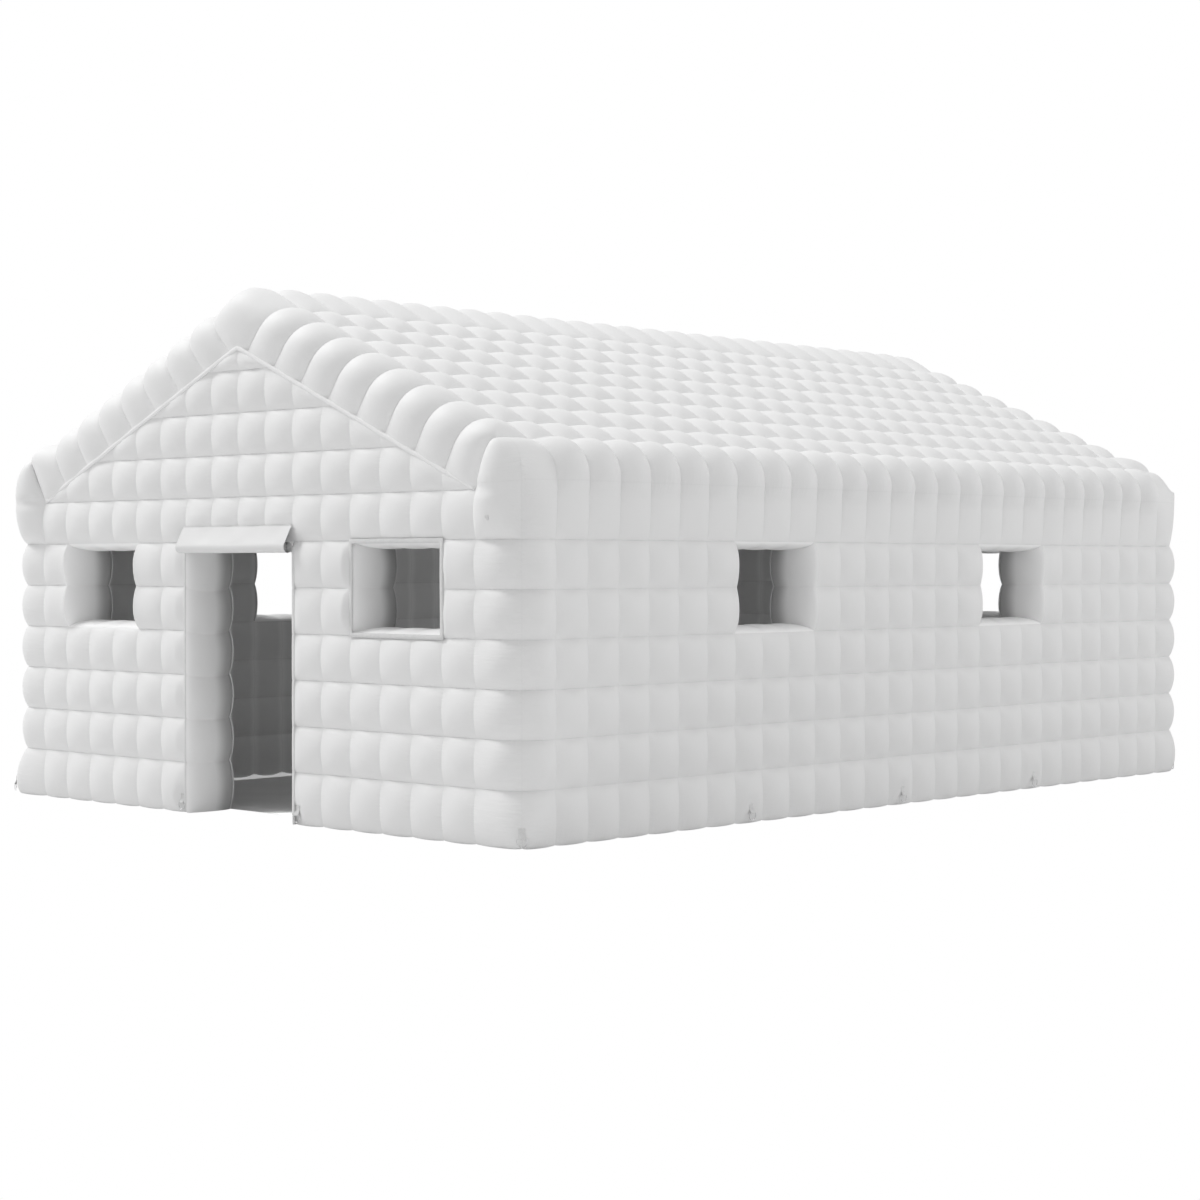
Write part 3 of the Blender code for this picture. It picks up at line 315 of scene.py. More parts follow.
# %% Node helpers
class Nodes:
    """Adds shader nodes to one material and links them."""

    def __init__(self, name, roughness, sheen=0.0, metallic=0.0):
        self.material = bpy.data.materials.new(name)
        self.material.use_nodes = True
        self.tree = self.material.node_tree
        self.shader = self.tree.nodes["Principled BSDF"]
        self.feed(self.shader, {"Roughness": roughness, "Sheen Weight": sheen, "Metallic": metallic,
                                "Specular IOR Level": 0.4})

    def feed(self, node, inputs):
        """Link or set inputs, given by name or number."""
        for key, value in inputs.items():
            if isinstance(value, bpy.types.NodeSocket):
                self.tree.links.new(value, node.inputs[key])
            else:
                node.inputs[key].default_value = value

    def add(self, kind, inputs=(), **settings):
        """Add a node with its settings, and feed its inputs."""
        node = self.tree.nodes.new("ShaderNode" + kind)
        for name, value in settings.items():
            setattr(node, name, value)
        self.feed(node, inputs if isinstance(inputs, dict) else dict(enumerate(inputs)))
        return node

    def math(self, operation, *values, clamp=False):
        return self.add("Math", values, operation=operation, use_clamp=clamp).outputs[0]

    def plus(self, first, second, clamp=False):
        return self.math("ADD", first, second, clamp=clamp)

    def times(self, first, second):
        return self.math("MULTIPLY", first, second)

    def ramp(self, value, low, high, start=0.0, end=1.0):
        """Map low..high smoothly to start..end."""
        return self.add("MapRange", (value, low, high, start, end),
                        interpolation_type="SMOOTHSTEP").outputs[0]

    def noise(self, vector, scale, detail=2.0):
        return self.add("TexNoise", {"Vector": vector, "Scale": scale, "Detail": detail,
                                     "Roughness": 0.5}).outputs["Fac"]

    def stretched(self, vector, scale):
        return self.add("Mapping", {"Vector": vector, "Scale": scale}).outputs[0]

    def weave(self, vector, per_metre):
        """Two crossed wave bands, one thread each way."""
        bands = [self.add("TexWave", {"Vector": vector, "Scale": per_metre, "Distortion": 0.4},
                          bands_direction=axis).outputs["Fac"] for axis in ("X", "Z")]
        return self.times(*bands)

    def colour(self, factor, dark, light):
        """Mix dark and light, each a grey level or a colour."""
        dark, light = [(*np.broadcast_to(level, 3).tolist(), 1) for level in (dark, light)]
        mix = self.add("Mix", {"Factor": factor, "A": dark, "B": light}, data_type="RGBA")
        self.feed(self.shader, {"Base Color": mix.outputs["Result"]})

    def bump(self, height, distance, strength=1.0, under=None):
        """Bump by a height, over the bump under it."""
        inputs = {"Strength": strength, "Distance": distance, "Height": height}
        normal = self.add("Bump", {**inputs, "Normal": under} if under else inputs).outputs[0]
        self.feed(self.shader, {"Normal": normal})
        return normal

    def where(self):
        return self.add("TexCoord").outputs["Object"]

    def stored(self, name):
        return self.add("Attribute", attribute_name=name).outputs["Fac"]


# %% Cloths, tape and steel
def quilted_cloth(name, light, dark, painted_seam_light=0.0):
    """Coated cloth with seams on whole cell numbers: weave, slack, puckers and stitches; it can be
    painted lighter beside each upright seam, as painted light.
    """
    n = Nodes(name, roughness=0.6, sheen=0.06)
    where, cells = n.where(), n.add("UVMap", uv_map="cells").outputs[0]
    counted = n.add("SeparateXYZ", [cells]).outputs
    across, up = [n.math("PINGPONG", counted[axis], 0.5) for axis in (0, 1)]
    near_row = n.ramp(up, 0.0, 0.3, 1.0, 0.0)
    near_column = n.ramp(across, 0.0, 0.22, 1.0, 0.0)
    row_ripple = n.noise(n.stretched(cells, (9.0, 1.1, 1.0)), 2.0)
    column_ripple = n.noise(n.stretched(cells, (1.1, 9.0, 1.0)), 2.0)
    pulled = n.noise(n.stretched(cells, (0.8, 5.5, 1.0)), 2.4, 3.0)
    ripples = n.plus(n.times(row_ripple, near_row), n.times(column_ripple, near_column))
    ripples = n.plus(ripples, n.times(n.times(pulled, n.stored("pull")), 5.0))
    broad = n.noise(where, 1.7, 3.0)
    first = n.bump(ripples, 0.0022)
    second = n.bump(n.plus(n.noise(where, 5.0), broad), 0.004, 0.6, first)
    n.bump(n.weave(where, 260.0), 0.0002, 0.25, second)
    seam = n.math("MINIMUM", n.ramp(across, 0.004, 0.02), n.ramp(up, 0.004, 0.02))
    dashes = n.math("GREATER_THAN", n.math("SINE", n.times(counted[0], 250.0)), 0.1)
    row_stitch = n.times(n.math("COMPARE", up, 0.03, 0.004), dashes)
    # Darker on the seams, plus painted light in bands beside each upright seam, taken from the
    # random tone.
    tone = n.plus(n.times(seam, 0.3), n.times(broad, 0.9 - painted_seam_light))
    tone = n.plus(tone, n.times(near_column, painted_seam_light))
    n.colour(n.math("SUBTRACT", tone, n.times(row_stitch, 0.15), clamp=True), dark, light)
    return n.material


def plain_cloth(name, light, dark, weave=260.0, slack=0.002, inward=False):
    """Coated cloth without cells, with slack folds and a weave; inward paints it darker with depth
    into an opening, as painted shade.
    """
    n = Nodes(name, roughness=0.58, sheen=0.06)
    where = n.where()
    tone = n.noise(where, 2.3, 3.0)
    first = n.bump(n.noise(where, 14.0, 3.0), slack, 0.5)
    n.bump(n.weave(where, weave), 0.0003, 0.4, first)
    if inward:
        # Painted shade: light at the wall's edge, dark deeper into the opening.
        depth = n.ramp(n.stored("pull"), 0.5, 0.84, 0.95, -0.1)
        tone = n.plus(n.times(tone, 0.2), depth, clamp=True)
    n.colour(tone, dark, light)
    return n.material


def webbing_tape(name, light, dark, roughness=0.75, painted_glow=0.0):
    """Narrow woven tape with coarse ribs across it; its emission is a painted glow."""
    n = Nodes(name, roughness=roughness, sheen=0.1)
    # Emission is painted light: the tape glows though it is no lamp.
    n.feed(n.shader, {"Emission Color": (1, 1, 1, 1), "Emission Strength": painted_glow})
    where = n.where()
    ribs = n.weave(where, 420.0)
    n.bump(ribs, 0.0008, 0.8)
    n.colour(n.plus(n.times(ribs, 0.5), n.times(n.noise(where, 30.0), 0.6)), dark, light)
    return n.material


def steel(name):
    """Plated wire, a little dull, with fine scratches."""
    n = Nodes(name, roughness=0.3, metallic=1.0)
    where = n.where()
    scratches = n.noise(n.stretched(where, (1.0, 1.0, 12.0)), 90.0, 4.0)
    n.bump(scratches, 0.0002, 0.3)
    n.feed(n.shader, {"Roughness": n.ramp(scratches, 0.3, 0.7, 0.24, 0.4)})
    n.colour(n.noise(where, 40.0), (0.62, 0.62, 0.63), 0.80)
    return n.material


OUTER = quilted_cloth("outer_cloth", 0.875, 0.81)
# The lining's lighter bands beside its upright seams are painted light.
LINING = quilted_cloth("lining_cloth", 0.86, 0.58, painted_seam_light=0.4)
# The reveal is painted near white at the wall's edge and dark grey deep in the opening: painted
# shade.
REVEAL = plain_cloth("reveal_cloth", 0.96, 0.56, slack=0.003, inward=True)
CURTAIN = plain_cloth("curtain_cloth", 0.82, 0.77)
SHEET = plain_cloth("sheet_cloth", 0.86, 0.74, weave=180.0)
HIDDEN = plain_cloth("inner_cloth", 0.82, 0.76)
TAPE = webbing_tape("webbing_tape", 0.90, 0.74)
# coated_hem glows a little: painted light for outdoor light leaking under the wall onto the
# lining's foot.
HEM = webbing_tape("coated_hem", 0.97, 0.90, roughness=0.3, painted_glow=0.3)
PIPING = plain_cloth("piping_cloth", 0.93, 0.88, slack=0.006)
STEEL = steel("ring_steel")


# %% [markdown]
# ## Walls
#
# An end wall has its rows, then the row under the gable, the gable itself, which ends on the
# slanted seams of the rakes, and a tall cheek at each corner whose top follows the eave.

# %% Quilted panels
OPENING_FADE = 0.05
MITRE_REACH = 0.2
LIFT_REACH = 0.12
PULL_REACH = 0.15
SLANT_REACH = 0.12


def pressed(out, x, y, presses):
    """Keep the height under each press (left, right, low, high, limit, soft edge)."""
    for left, right, low, high, limit, soft in presses:
        across = np.minimum(x - left, right - x)[None, :]
        up = np.minimum(y - low, high - y)[:, None]
        held = ease(np.minimum(across, up) / soft)
        out = out - held * np.maximum(out - limit, 0)
    return out


def quilt(cloth, columns, rows, shares, openings=(), steps=12, bulge=BULGE, first_row=0, pull=0.0,
          presses=(), open_share=1.0, lift=0.0, row_share=OPENING_SHARE):
    """A quilted rectangle: height = bulge * row crown^roundness * across height.

    Beside an opening the cloth keeps open_share of its height across. The outermost columns
    also move along the wall as far as they stand out, so that two walls meet in a mitre. lift
    raises the bottom edge at each upright seam.
    """
    x, y = between(columns, steps), between(rows, steps)
    width, counted_x = across_height(x, columns, shares)
    full_y, counted_y = crown(y, rows)
    full, width = np.tile(full_y[:, None], (1, len(x))), np.tile(width, (len(y), 1))
    mid_x, mid_y = (x[1:] + x[:-1]) / 2, (y[1:] + y[:-1]) / 2
    kept = np.ones((len(mid_y), len(mid_x)), bool)
    for left, right, low, high in openings:
        kept &= ~np.outer((mid_y > low) & (mid_y < high), (mid_x > left) & (mid_x < right))
        at_edge = np.isclose(columns[:, None], (left, right)).any(axis=1)
        shares = np.where(at_edge, open_share, shares)
        width[(y > low) & (y < high)] = across_height(x, columns, shares)[0]
        near = np.exp(-np.maximum(np.maximum(left - x, x - right), 0) / OPENING_FADE)
        full += (beside_opening(full_y, y, low, high, row_share) - full_y)[:, None] * near
    out = pressed(bulge * full ** ROUNDNESS * width, x, y, presses)
    from_end = np.abs(x) - np.abs(x).max()
    near_end = ease(from_end / MITRE_REACH + 1) * np.sign(x)
    raised = lift * np.outer(np.maximum(1 - y / LIFT_REACH, 0), 1 - crown(x, columns)[0] ** 0.5)
    grid = joined(x + near_end * out[:, -1:], y[:, None] + raised, out)
    cells = joined(counted_x, (counted_y + first_row)[:, None])
    cloth.grid(grid, cells, np.exp(from_end / PULL_REACH) * pull, kept)


def slant_lift(x):
    """How far the slanted seam stands out, down to 0 at its lower ends."""
    return SLANT_LIFT * (1 - np.clip(np.abs(x) / GABLE_HALF, 0, 1) ** 8)


def gable(cloth, columns, rows, bulge=BULGE, steps=12):
    """Rows that end on the two slanted seams, where the height falls to slant_lift."""
    x, y = between(columns, steps), between(rows, steps)
    width, counted_x = across_height(x, columns, seam_shares(len(columns)))
    full, counted_y = crown(y, rows)
    slanted = rows[-1] - SLOPE * np.abs(x)
    near = (slanted - y[:, None]) * math.cos(PITCH)
    edge = (1 - (1 - np.clip(near / SLANT_REACH, 0, 1)) ** 2) ** 0.6
    out = bulge * np.outer(full ** ROUNDNESS, width) * edge + slant_lift(x) * (1 - edge)
    under = near > 1e-6
    kept = under[:-1, :-1] | under[1:, :-1] | under[:-1, 1:] | under[1:, 1:]
    cloth.grid(joined(x, np.minimum(y[:, None], slanted), out),
               joined(counted_x, counted_y[:, None]), 0.0, kept)


FOOT_LIFT = 0.011
DOOR_TAB = 0.69
BACK_TAB = 0.80
LONG_TABS = (-1.8978, 0.0, 1.8978)
DOOR_TAB_OUT = 0.0209
TAB_OUT = 0.0319
FRONT_OPENINGS = (DOOR, FRONT_LEFT_WINDOW, FRONT_RIGHT_WINDOW)
HEADER_PRESS = (-0.68, 0.68, 2.15, 2.23, 0.0345, 0.012)
RIM_STAND = 0.019
STRIP_STAND = 0.028
MARGIN = 0.035
left, right, low, high = FRONT_RIGHT_WINDOW
RIM_PRESS = (left - MARGIN, right + MARGIN, low - MARGIN, high + MARGIN, RIM_STAND - 0.001, 0.015)
STRIP_PRESSES = [(side * 0.66 - MARGIN, side * 0.66 + MARGIN, -0.1, 2.2, STRIP_STAND, 0.012)
                 for side, word in SIDES]


def tab_presses(places, height):
    """Where each webbing tab holds the lowest row in, and room for its ring below."""
    tab = (0.02, 0.20, height - 0.001, 0.045)
    room = (-0.03, 0.075, height - 0.0175, 0.03)
    return [(x - 0.07, x + 0.07, *press) for x in places for press in (tab, room)]


def end_wall(word, place, openings, presses, upper_presses=()):
    """The cloth of an end wall, without the corner cells above the rows."""
    cloth = Cloth(place)
    columns = with_corners(END_SEAMS, HALF_WIDTH)
    quilt(cloth, columns, ROW_SEAMS, seam_shares(len(columns), CORNER_SHARE), openings, pull=1.0,
          presses=presses, lift=FOOT_LIFT)
    quilt(cloth, END_SEAMS, [EAVE_FOOT, WALL_TOP], seam_shares(len(END_SEAMS)), first_row=6,
          presses=upper_presses)
    gable(cloth, END_SEAMS, GABLE_ROWS)
    cloth.build(f"{word}_wall_cloth", OUTER, [f"{word}_wall"])


end_wall("front", FRONT, FRONT_OPENINGS,
         [RIM_PRESS, *STRIP_PRESSES, *tab_presses((-DOOR_TAB, DOOR_TAB), DOOR_TAB_OUT)],
         [HEADER_PRESS, RIM_PRESS])
end_wall("back", BACK, (BACK_WINDOW,), tab_presses((-BACK_TAB, BACK_TAB), TAB_OUT))
for side, word in SIDES:
    cloth = Cloth(LONG[side])
    quilt(cloth, LONG_SEAMS, ROW_SEAMS, seam_shares(len(LONG_SEAMS), CORNER_SHARE, 0.25),
          SIDE_WINDOWS, pull=0.6, presses=tab_presses(LONG_TABS, TAB_OUT), open_share=LONG_EDGE,
          lift=FOOT_LIFT)
    cloth.build(f"{word}_wall_cloth", OUTER, [f"{word}_wall"])


# %% [markdown]
# ## Eaves, roof and ridge
#
# The eave is one long row of big cells that rolls from the wall over to the roof. Its seams
# are shallow on the wall and deep on the shoulder.

# %% Eave profile
EAVE_ROUND = 0.24
EAVE_TANGENT = EAVE_ROUND * math.tan((math.pi / 2 - PITCH) / 2)
EAVE_UPRIGHT = EAVE - EAVE_TANGENT - EAVE_FOOT
EAVE_ARC = EAVE_ROUND * (math.pi / 2 - PITCH)
EAVE_TOP = (HALF_WIDTH - EAVE_SEAM) / math.cos(PITCH) - EAVE_TANGENT
EAVE_LENGTH = EAVE_UPRIGHT + EAVE_ARC + EAVE_TOP


def eave_profile(s):
    """Point (x, z) and normal (x, z) at a length s up the wall, round the eave and up the roof."""
    s = np.asarray(s, float)
    turn = np.clip((s - EAVE_UPRIGHT) / EAVE_ROUND, 0, math.pi / 2 - PITCH)
    rest = np.maximum(s - EAVE_UPRIGHT - EAVE_ARC, 0)
    x = HALF_WIDTH - EAVE_ROUND * (1 - np.cos(turn)) - rest * math.cos(PITCH)
    z = EAVE_FOOT + np.minimum(s, EAVE_UPRIGHT) + EAVE_ROUND * np.sin(turn) + rest * math.sin(PITCH)
    return x, z, np.cos(turn), np.sin(turn)


# %% Eaves
def lifted(base, height):
    """Move a grid of points along its normals by a height."""
    return base + normals(base) * height[..., None]


def eave_heights(up):
    """Height of a full cell up the eave's profile, and the share its seams keep there."""
    length = up * EAVE_LENGTH
    shoulder = ease((length - 0.25) / 0.25)
    full = BULGE * (1 + 1.1 * shoulder) * hump(up) ** 0.6
    dent = 0.08 * np.exp(-((length - WALL_TOP + EAVE_FOOT + 0.03) / 0.012) ** 2)
    return full * (1 - dent), 0.45 - 0.31 * shoulder


EAVE_UP = crowded(40)


def eave(side, word, steps=12):
    """The cells round the eave: height = full * (share + (1 - share) crown^roundness)."""
    seams = LONG_SEAMS[1:-1]
    y = between(seams, steps)
    full_y, counted = crown(y, seams)
    x, z, nx, nz = [value[:, None] for value in eave_profile(EAVE_UP * EAVE_LENGTH)]
    full, share = [value[:, None] for value in eave_heights(EAVE_UP)]
    out = full * (share + (1 - share) * full_y ** ROUNDNESS)
    cloth = Cloth(LONG[side])
    cloth.grid(joined(y, z + out * nz, x - HALF_WIDTH + out * nx),
               joined(counted, 6 + 2 * EAVE_UP[:, None]))
    cloth.build(f"{word}_eave_cloth", OUTER, [f"{word}_eave"])


def roof_line(x, soft=0.12):
    """Height of the roof's seams, rounded over the ridge: |x| becomes x^2 / 2r + r / 2 inside r."""
    x = np.abs(x)
    return RIDGE - SLOPE * np.where(x < soft, x * x / (2 * soft) + soft / 2, x)


def up_slope(side):
    """The direction up one slope of the roof."""
    return (-side * math.cos(PITCH), 0, math.sin(PITCH))


def roof(side, word):
    """Eight rows of cells up one slope."""
    length = (EAVE_SEAM - RIDGE_HALF) / math.cos(PITCH)
    columns = LONG_SEAMS[1:-1]
    foot = (side * EAVE_SEAM, 0, RIDGE - SLOPE * EAVE_SEAM)
    cloth = Cloth(placed(foot, (0, side, 0), up_slope(side)))
    rows = length * np.arange(9) / 8
    quilt(cloth, columns, rows, seam_shares(len(columns), 0.0, 0.22), bulge=1.1 * BULGE)
    cloth.build(f"{word}_roof_cloth", OUTER, [f"{word}_roof"])


def ridge(steps=12, rings=24):
    """One row of cells over the ridge."""
    columns = LONG_SEAMS[1:-1]
    y = between(columns, steps)
    width, counted = across_height(y, columns, seam_shares(len(columns), 0.0, 0.45))
    t = crowded(rings)[:, None]
    x = RIDGE_HALF * (1 - 2 * t)
    out = 1.25 * BULGE * hump(t) ** 0.6 * width
    cloth = Cloth()
    cloth.grid(lifted(joined(x, y, roof_line(x)), out), joined(counted, t))
    cloth.build("ridge_cloth", OUTER, ["ridge"])


for side, word in SIDES:
    eave(side, word)
    roof(side, word)
ridge()


# %% [markdown]
# ## Rakes
#
# Each gable edge is a fan of big cells. A cell starts at the gable's slanted seam, rises up
# the face, rolls over the edge and ends at the first seam across the roof.

# %% Rakes
FAN_SEAMS = np.arange(18.0)
LEAST_FILLET = 0.01
MORE_FILLET = 0.21
FOOT_FADE = 0.02


def fan_places(u, first, last):
    """The x of each sample across the fan, whose seams run from first to last on each slope."""
    half = first + (last - first) * np.arange(9) / 8
    return np.interp(u, FAN_SEAMS, np.concatenate([-half[::-1], half]))


def rake(word, end, steps=14):
    """The fan on one gable: height = bulge * crown^0.45 up the cell * width across it.

    The line up a cell runs straight to a fillet under the roof's edge, round the edge and on to
    the first seam across the roof. Its foot stands as far out as the slanted seam.
    """
    u = between(FAN_SEAMS, steps)
    inner, outer = fan_places(u, FAN_HALF, GABLE_HALF), fan_places(u, RIDGE_HALF, EAVE_SEAM)
    low = joined(inner, 0 * u, GABLE_TOP - SLOPE * np.abs(inner))
    edge = joined(outer, 0 * u, roof_line(outer))
    seam = edge + [0, LONG_CELL, 0]
    up = unit(edge - low)
    fillet = LEAST_FILLET + MORE_FILLET * ease(np.minimum(u, FAN_SEAMS[-1] - u) / 0.9)[:, None]
    a, b = edge - up * fillet, edge + [0, 1, 0] * fillet
    t = np.linspace(0, 1, 13)[:, None, None]
    face = low + (a - low) * (1 - np.cos(np.pi * t / 2))
    bend = (1 - t) ** 2 * a + 2 * t * (1 - t) * edge + t ** 2 * b
    top = b + (seam - b) * np.sin(np.pi * t / 2)
    base = np.concatenate([face, bend[1:], top[1:]])
    run = np.cumsum(np.linalg.norm(np.diff(base, axis=0), axis=-1), axis=0)
    v = np.concatenate([np.zeros((1, len(u))), run]) / run[-1]
    full, counted = crown(u, FAN_SEAMS)
    share = np.interp(u, FAN_SEAMS[[0, 1, 16, 17]], [0.0, 0.3, 0.3, 0.0])
    width = share + (1 - share) * full ** 0.8
    out = 1.35 * BULGE * hump(v) ** 0.45 * width + slant_lift(inner) * np.exp(-v / FOOT_FADE)
    cloth = Cloth()
    cloth.grid(lifted(base, out) * [-end, -end, 1] + [0, end * HALF_LENGTH, 0], joined(counted, v),
               np.exp(-v / 0.08) * 0.5)
    cloth.build(f"{word}_rake_cloth", OUTER, [f"{word}_rake"])


for end, word in ENDS:
    rake(word, end)


# %% [markdown]
# ## Corners
#
# Above the rows, each corner is one big cell. It starts beside the end wall's last upright
# seam, passes over the corner seam, which stops short of the eave, and ends at the first seam
# round the eave. Its shape comes from inflating a grid whose seams are held.

# %% Corners
def inflate(grid, held, pressure, rounds=1500):
    """Each free point goes to the mean of its four neighbours, plus pressure along its normal."""
    for _ in range(rounds):
        mean = grid.copy()
        mean[1:-1, 1:-1] = (grid[2:, 1:-1] + grid[:-2, 1:-1] + grid[1:-1, 2:] + grid[1:-1, :-2]) / 4
        grid = np.where(held[..., None], grid, mean + normals(grid) * pressure)
    return grid


SEAM_END = 2.60
CREASE = 0.03


def corner_cell(name, side, end, cheek=26, around=12):
    """One corner, in cheek steps on the end wall and around steps to the eave's first seam.

    The upright seam is held up to SEAM_END. A crease crosses the cheek at the wall's top.
    """
    length = EAVE_UP * EAVE_LENGTH
    px, pz, nx, nz = eave_profile(length)
    full, share = eave_heights(EAVE_UP)
    slanted = np.clip((length - ROW) / (EAVE_LENGTH - ROW), 0, 1)
    qx = GABLE_HALF + (px[-1] - GABLE_HALF) * slanted
    qz = np.where(length < ROW, EAVE_FOOT + length, WALL_TOP + (pz[-1] - WALL_TOP) * slanted)
    row = np.clip(length / ROW, 0, 1)
    beside = BULGE * SEAM_SHARE * hump(row) ** ROUNDNESS
    edge = BULGE * CORNER_SHARE * hump(EAVE_UP) ** ROUNDNESS
    t = np.linspace(0, 1, cheek + 1)[:, None]
    wall = joined(qx + (px - qx) * t + edge * ease(t * 3 - 2), beside * (1 - t) + edge * t,
                  qz + (pz - qz) * t)
    t = crowded(around)[1:, None]
    out = edge * (1 - t) + full * share * t
    over = joined(px + out * nx, edge * (1 - t) - LONG_CELL * t, pz + out * nz)
    grid = np.concatenate([wall, over])
    grid[..., 1] = end * (HALF_LENGTH + grid[..., 1])
    grid[..., 0] *= side
    grid = rounded(grid.reshape(-1, 3)).reshape(grid.shape)
    held = np.zeros(grid.shape[:2], bool)
    held[[0, -1]] = held[:, [0, -1]] = True
    held[cheek] |= pz < SEAM_END
    outward = side * end
    grid = inflate(grid, held, 0.0006 * outward)
    number = np.arange(len(grid))
    fade = ease(number / 5) * (1 - ease(number / cheek))
    grid[..., 1] -= end * CREASE * np.exp(-((grid[..., 2] - WALL_TOP) / 0.04) ** 2) * fade[:, None]
    counted = np.where(number <= cheek, 17 + number / cheek, 18 + (number - cheek) / around)
    cells = joined(counted[:, None], 6 + 2 * EAVE_UP)
    pull = np.exp(-np.abs(number - cheek) / 5)[:, None] * (pz < 2.68)
    cloth = Cloth()
    cloth.grid(grid[::outward], cells[::outward], pull[::outward])
    return cloth.build(name, OUTER)


corners = {(place, word): corner_cell(f"{place}_{word}_corner_cloth", side, end)
           for end, place in ENDS for side, word in SIDES}


# %% [markdown]
# ## Linings and reveals
#
# The lining repeats the quilt on the room's side. A reveal is a sleeve from the wall's edge to
# the lining's. Air swells it into the opening, and its corners meet in a mitre.

# %% Linings
HEM_HEIGHT = 0.050
HEM_DIP = 0.034
SHEET_TOP = 0.003
INNER_ROWS = np.concatenate([[SHEET_TOP], ROW_SEAMS[1:]])
UNDER_CEILING = np.concatenate([[EAVE_FOOT], GABLE_ROWS[:-1], [INNER_RIDGE]])


def foot_hem(name, place, columns, openings):
    """A light band on the lining's foot, with a painted glow; its top edge dips in the middle of
    each cell.
    """
    cloth = Cloth(place)
    doors = [edge for opening in openings if opening[2] < 0 for edge in opening[:2]]
    for left, right in between_cuts(columns[0], columns[-1], doors):
        x = between(inside(columns, left, right), 8)
        full = crown(x, columns)[0]
        t = np.linspace(0, 1, 4)[:, None]
        out = LINING_BULGE * full * (0.15 + 0.3 * t) + 0.004 + 0.02 * (1 - t)
        up = SHEET_TOP + 0.001 + (HEM_HEIGHT - HEM_DIP * full ** 0.5) * t
        cloth.grid(joined(x, up, out), joined(x * 12, t))
    cloth.build(name, HEM, (), "webbing")


def inside(seams, low, high):
    """The seams from low to high."""
    return seams[(seams > low - 1e-6) & (seams < high + 1e-6)]


def lining(word, place, half, seams, openings, rows, ceiling_rows=None):
    """A quilted lining between the room's corners."""
    columns = with_corners(seams, half)
    foot_hem(f"{word}_foot_hem", place, columns, openings)
    cloth = Cloth(place)
    quilt(cloth, columns, rows, seam_shares(len(columns), 0.0), openings, 8, LINING_BULGE,
          row_share=0.0)
    if ceiling_rows is not None:
        gable(cloth, columns, ceiling_rows, LINING_BULGE, 8)
    cloth.build(f"{word}_lining_cloth", LINING, [f"{word}_lining"], "lining_cloth")


lining("front", placed((0, -INNER_Y, 0), (-1, 0, 0)), INNER_X, END_SEAMS, FRONT_OPENINGS,
       INNER_ROWS, UNDER_CEILING)
lining("back", placed((0, INNER_Y, 0), (1, 0, 0)), INNER_X, END_SEAMS,
       ((0.64, 1.60, ROW_SEAMS[4], EAVE_FOOT),), INNER_ROWS, UNDER_CEILING)
for side, word in SIDES:
    lining(word, placed((side * INNER_X, 0, 0), (0, -side, 0)), INNER_Y, LONG_SEAMS,
           SIDE_WINDOWS, np.append(INNER_ROWS, INNER_EAVE))
    columns = with_corners(LONG_SEAMS, INNER_Y)
    cloth = Cloth(placed((side * INNER_X, 0, INNER_EAVE), (0, -side, 0), up_slope(side)))
    quilt(cloth, columns, INNER_X / math.cos(PITCH) * np.arange(10) / 9,
          seam_shares(len(columns), 0.0, 0.25), (), 6, LINING_BULGE)
    cloth.build(f"{word}_ceiling_cloth", LINING, [f"{word}_ceiling"], "lining_cloth")


# %% Reveals
def sleeve(word, place, opening, seams, limit=BULGE, share_out=1.0, steps=18):
    """Jambs, lintel and sill: swell = bulge (4 s (1 - s))^0.5, with s from outside to inside."""
    left, right, low, high = opening
    open_below, low = low < 0, max(low, 0.0)
    s = crowded(steps)
    arch = REVEAL_BULGE * hump(s) ** 0.5
    corner = 0.8 * arch
    cloth = Cloth(place)
    z = between(inside(ROW_SEAMS, low, high), 10)
    full, counted = [value[:, None] for value in crown(z, inside(ROW_SEAMS, low, high))]
    foot = 0 if open_below else corner
    share = ((z - low) / (high - low))[:, None]
    up = low + foot + share * (high - low - foot - corner)
    swell = (0.8 + 0.2 * full ** 0.7) * arch
    edge = beside_opening(full[:, 0], z, opening[2], high)[:, None] ** ROUNDNESS
    inner = LINING_BULGE * full ** ROUNDNESS
    out = np.minimum(BULGE * share_out * edge, limit) * (1 - s) - (WALL + inner) * s
    cells = joined(s, counted)
    # The pull attribute carries the depth s here, which reveal_cloth turns into painted shade.
    cloth.grid(joined(left + swell, up, out), cells, s)
    cloth.grid(joined(right - swell, up, out)[:, ::-1], cells[:, ::-1], s[::-1])
    x = between(inside(seams, left, right), 10)
    full, counted = crown(x, inside(seams, left, right))
    s, arch, corner = s[:, None], arch[:, None], corner[:, None]
    along = left + corner + (x - left) / (right - left) * (right - left - 2 * corner)
    swell = (0.8 + 0.2 * full ** 0.7) * arch
    cells = joined(counted, s)
    cloth.grid(joined(along, high - swell, -WALL * s)[::-1], cells[::-1], s[::-1])
    if not open_below:
        # The sill keeps only 0.4 of its depth, so little painted shade reaches it.
        cloth.grid(joined(along, low + swell, -WALL * s), cells, s * 0.4)
    node = "door_reveal" if open_below else f"{word}_window_reveal"
    cloth.build(f"{word}_reveal_cloth", REVEAL, [node])


sleeve("door", FRONT, DOOR, END_SEAMS, STRIP_STAND)
for word, place, opening, seams in WINDOWS:
    sleeve(word, place, opening, seams, RIM_STAND - 0.001 if word == "front_right" else BULGE,
           LONG_EDGE if seams is LONG_SEAMS else 1.0)


# %% [markdown]
# ## Swept pieces
#
# Bands, tabs and wire are a closed section carried along a path.

# %% Sweeping
def arc(radius, angle):
    """Points on a circle round the origin."""
    return radius * joined(np.cos(angle), np.sin(angle))


def flat_section(width, thickness):
    """A flat band's section with rounded edges, as (across, out) points."""
    half = thickness / 2
    right = arc(half, np.pi * np.arange(5) / 4 - np.pi / 2) + [width / 2 - half, 0]
    return np.concatenate([right, -right])


def round_section(radius, sides=16):
    """A round section."""
    return arc(radius, 2 * np.pi * np.arange(sides) / sides)


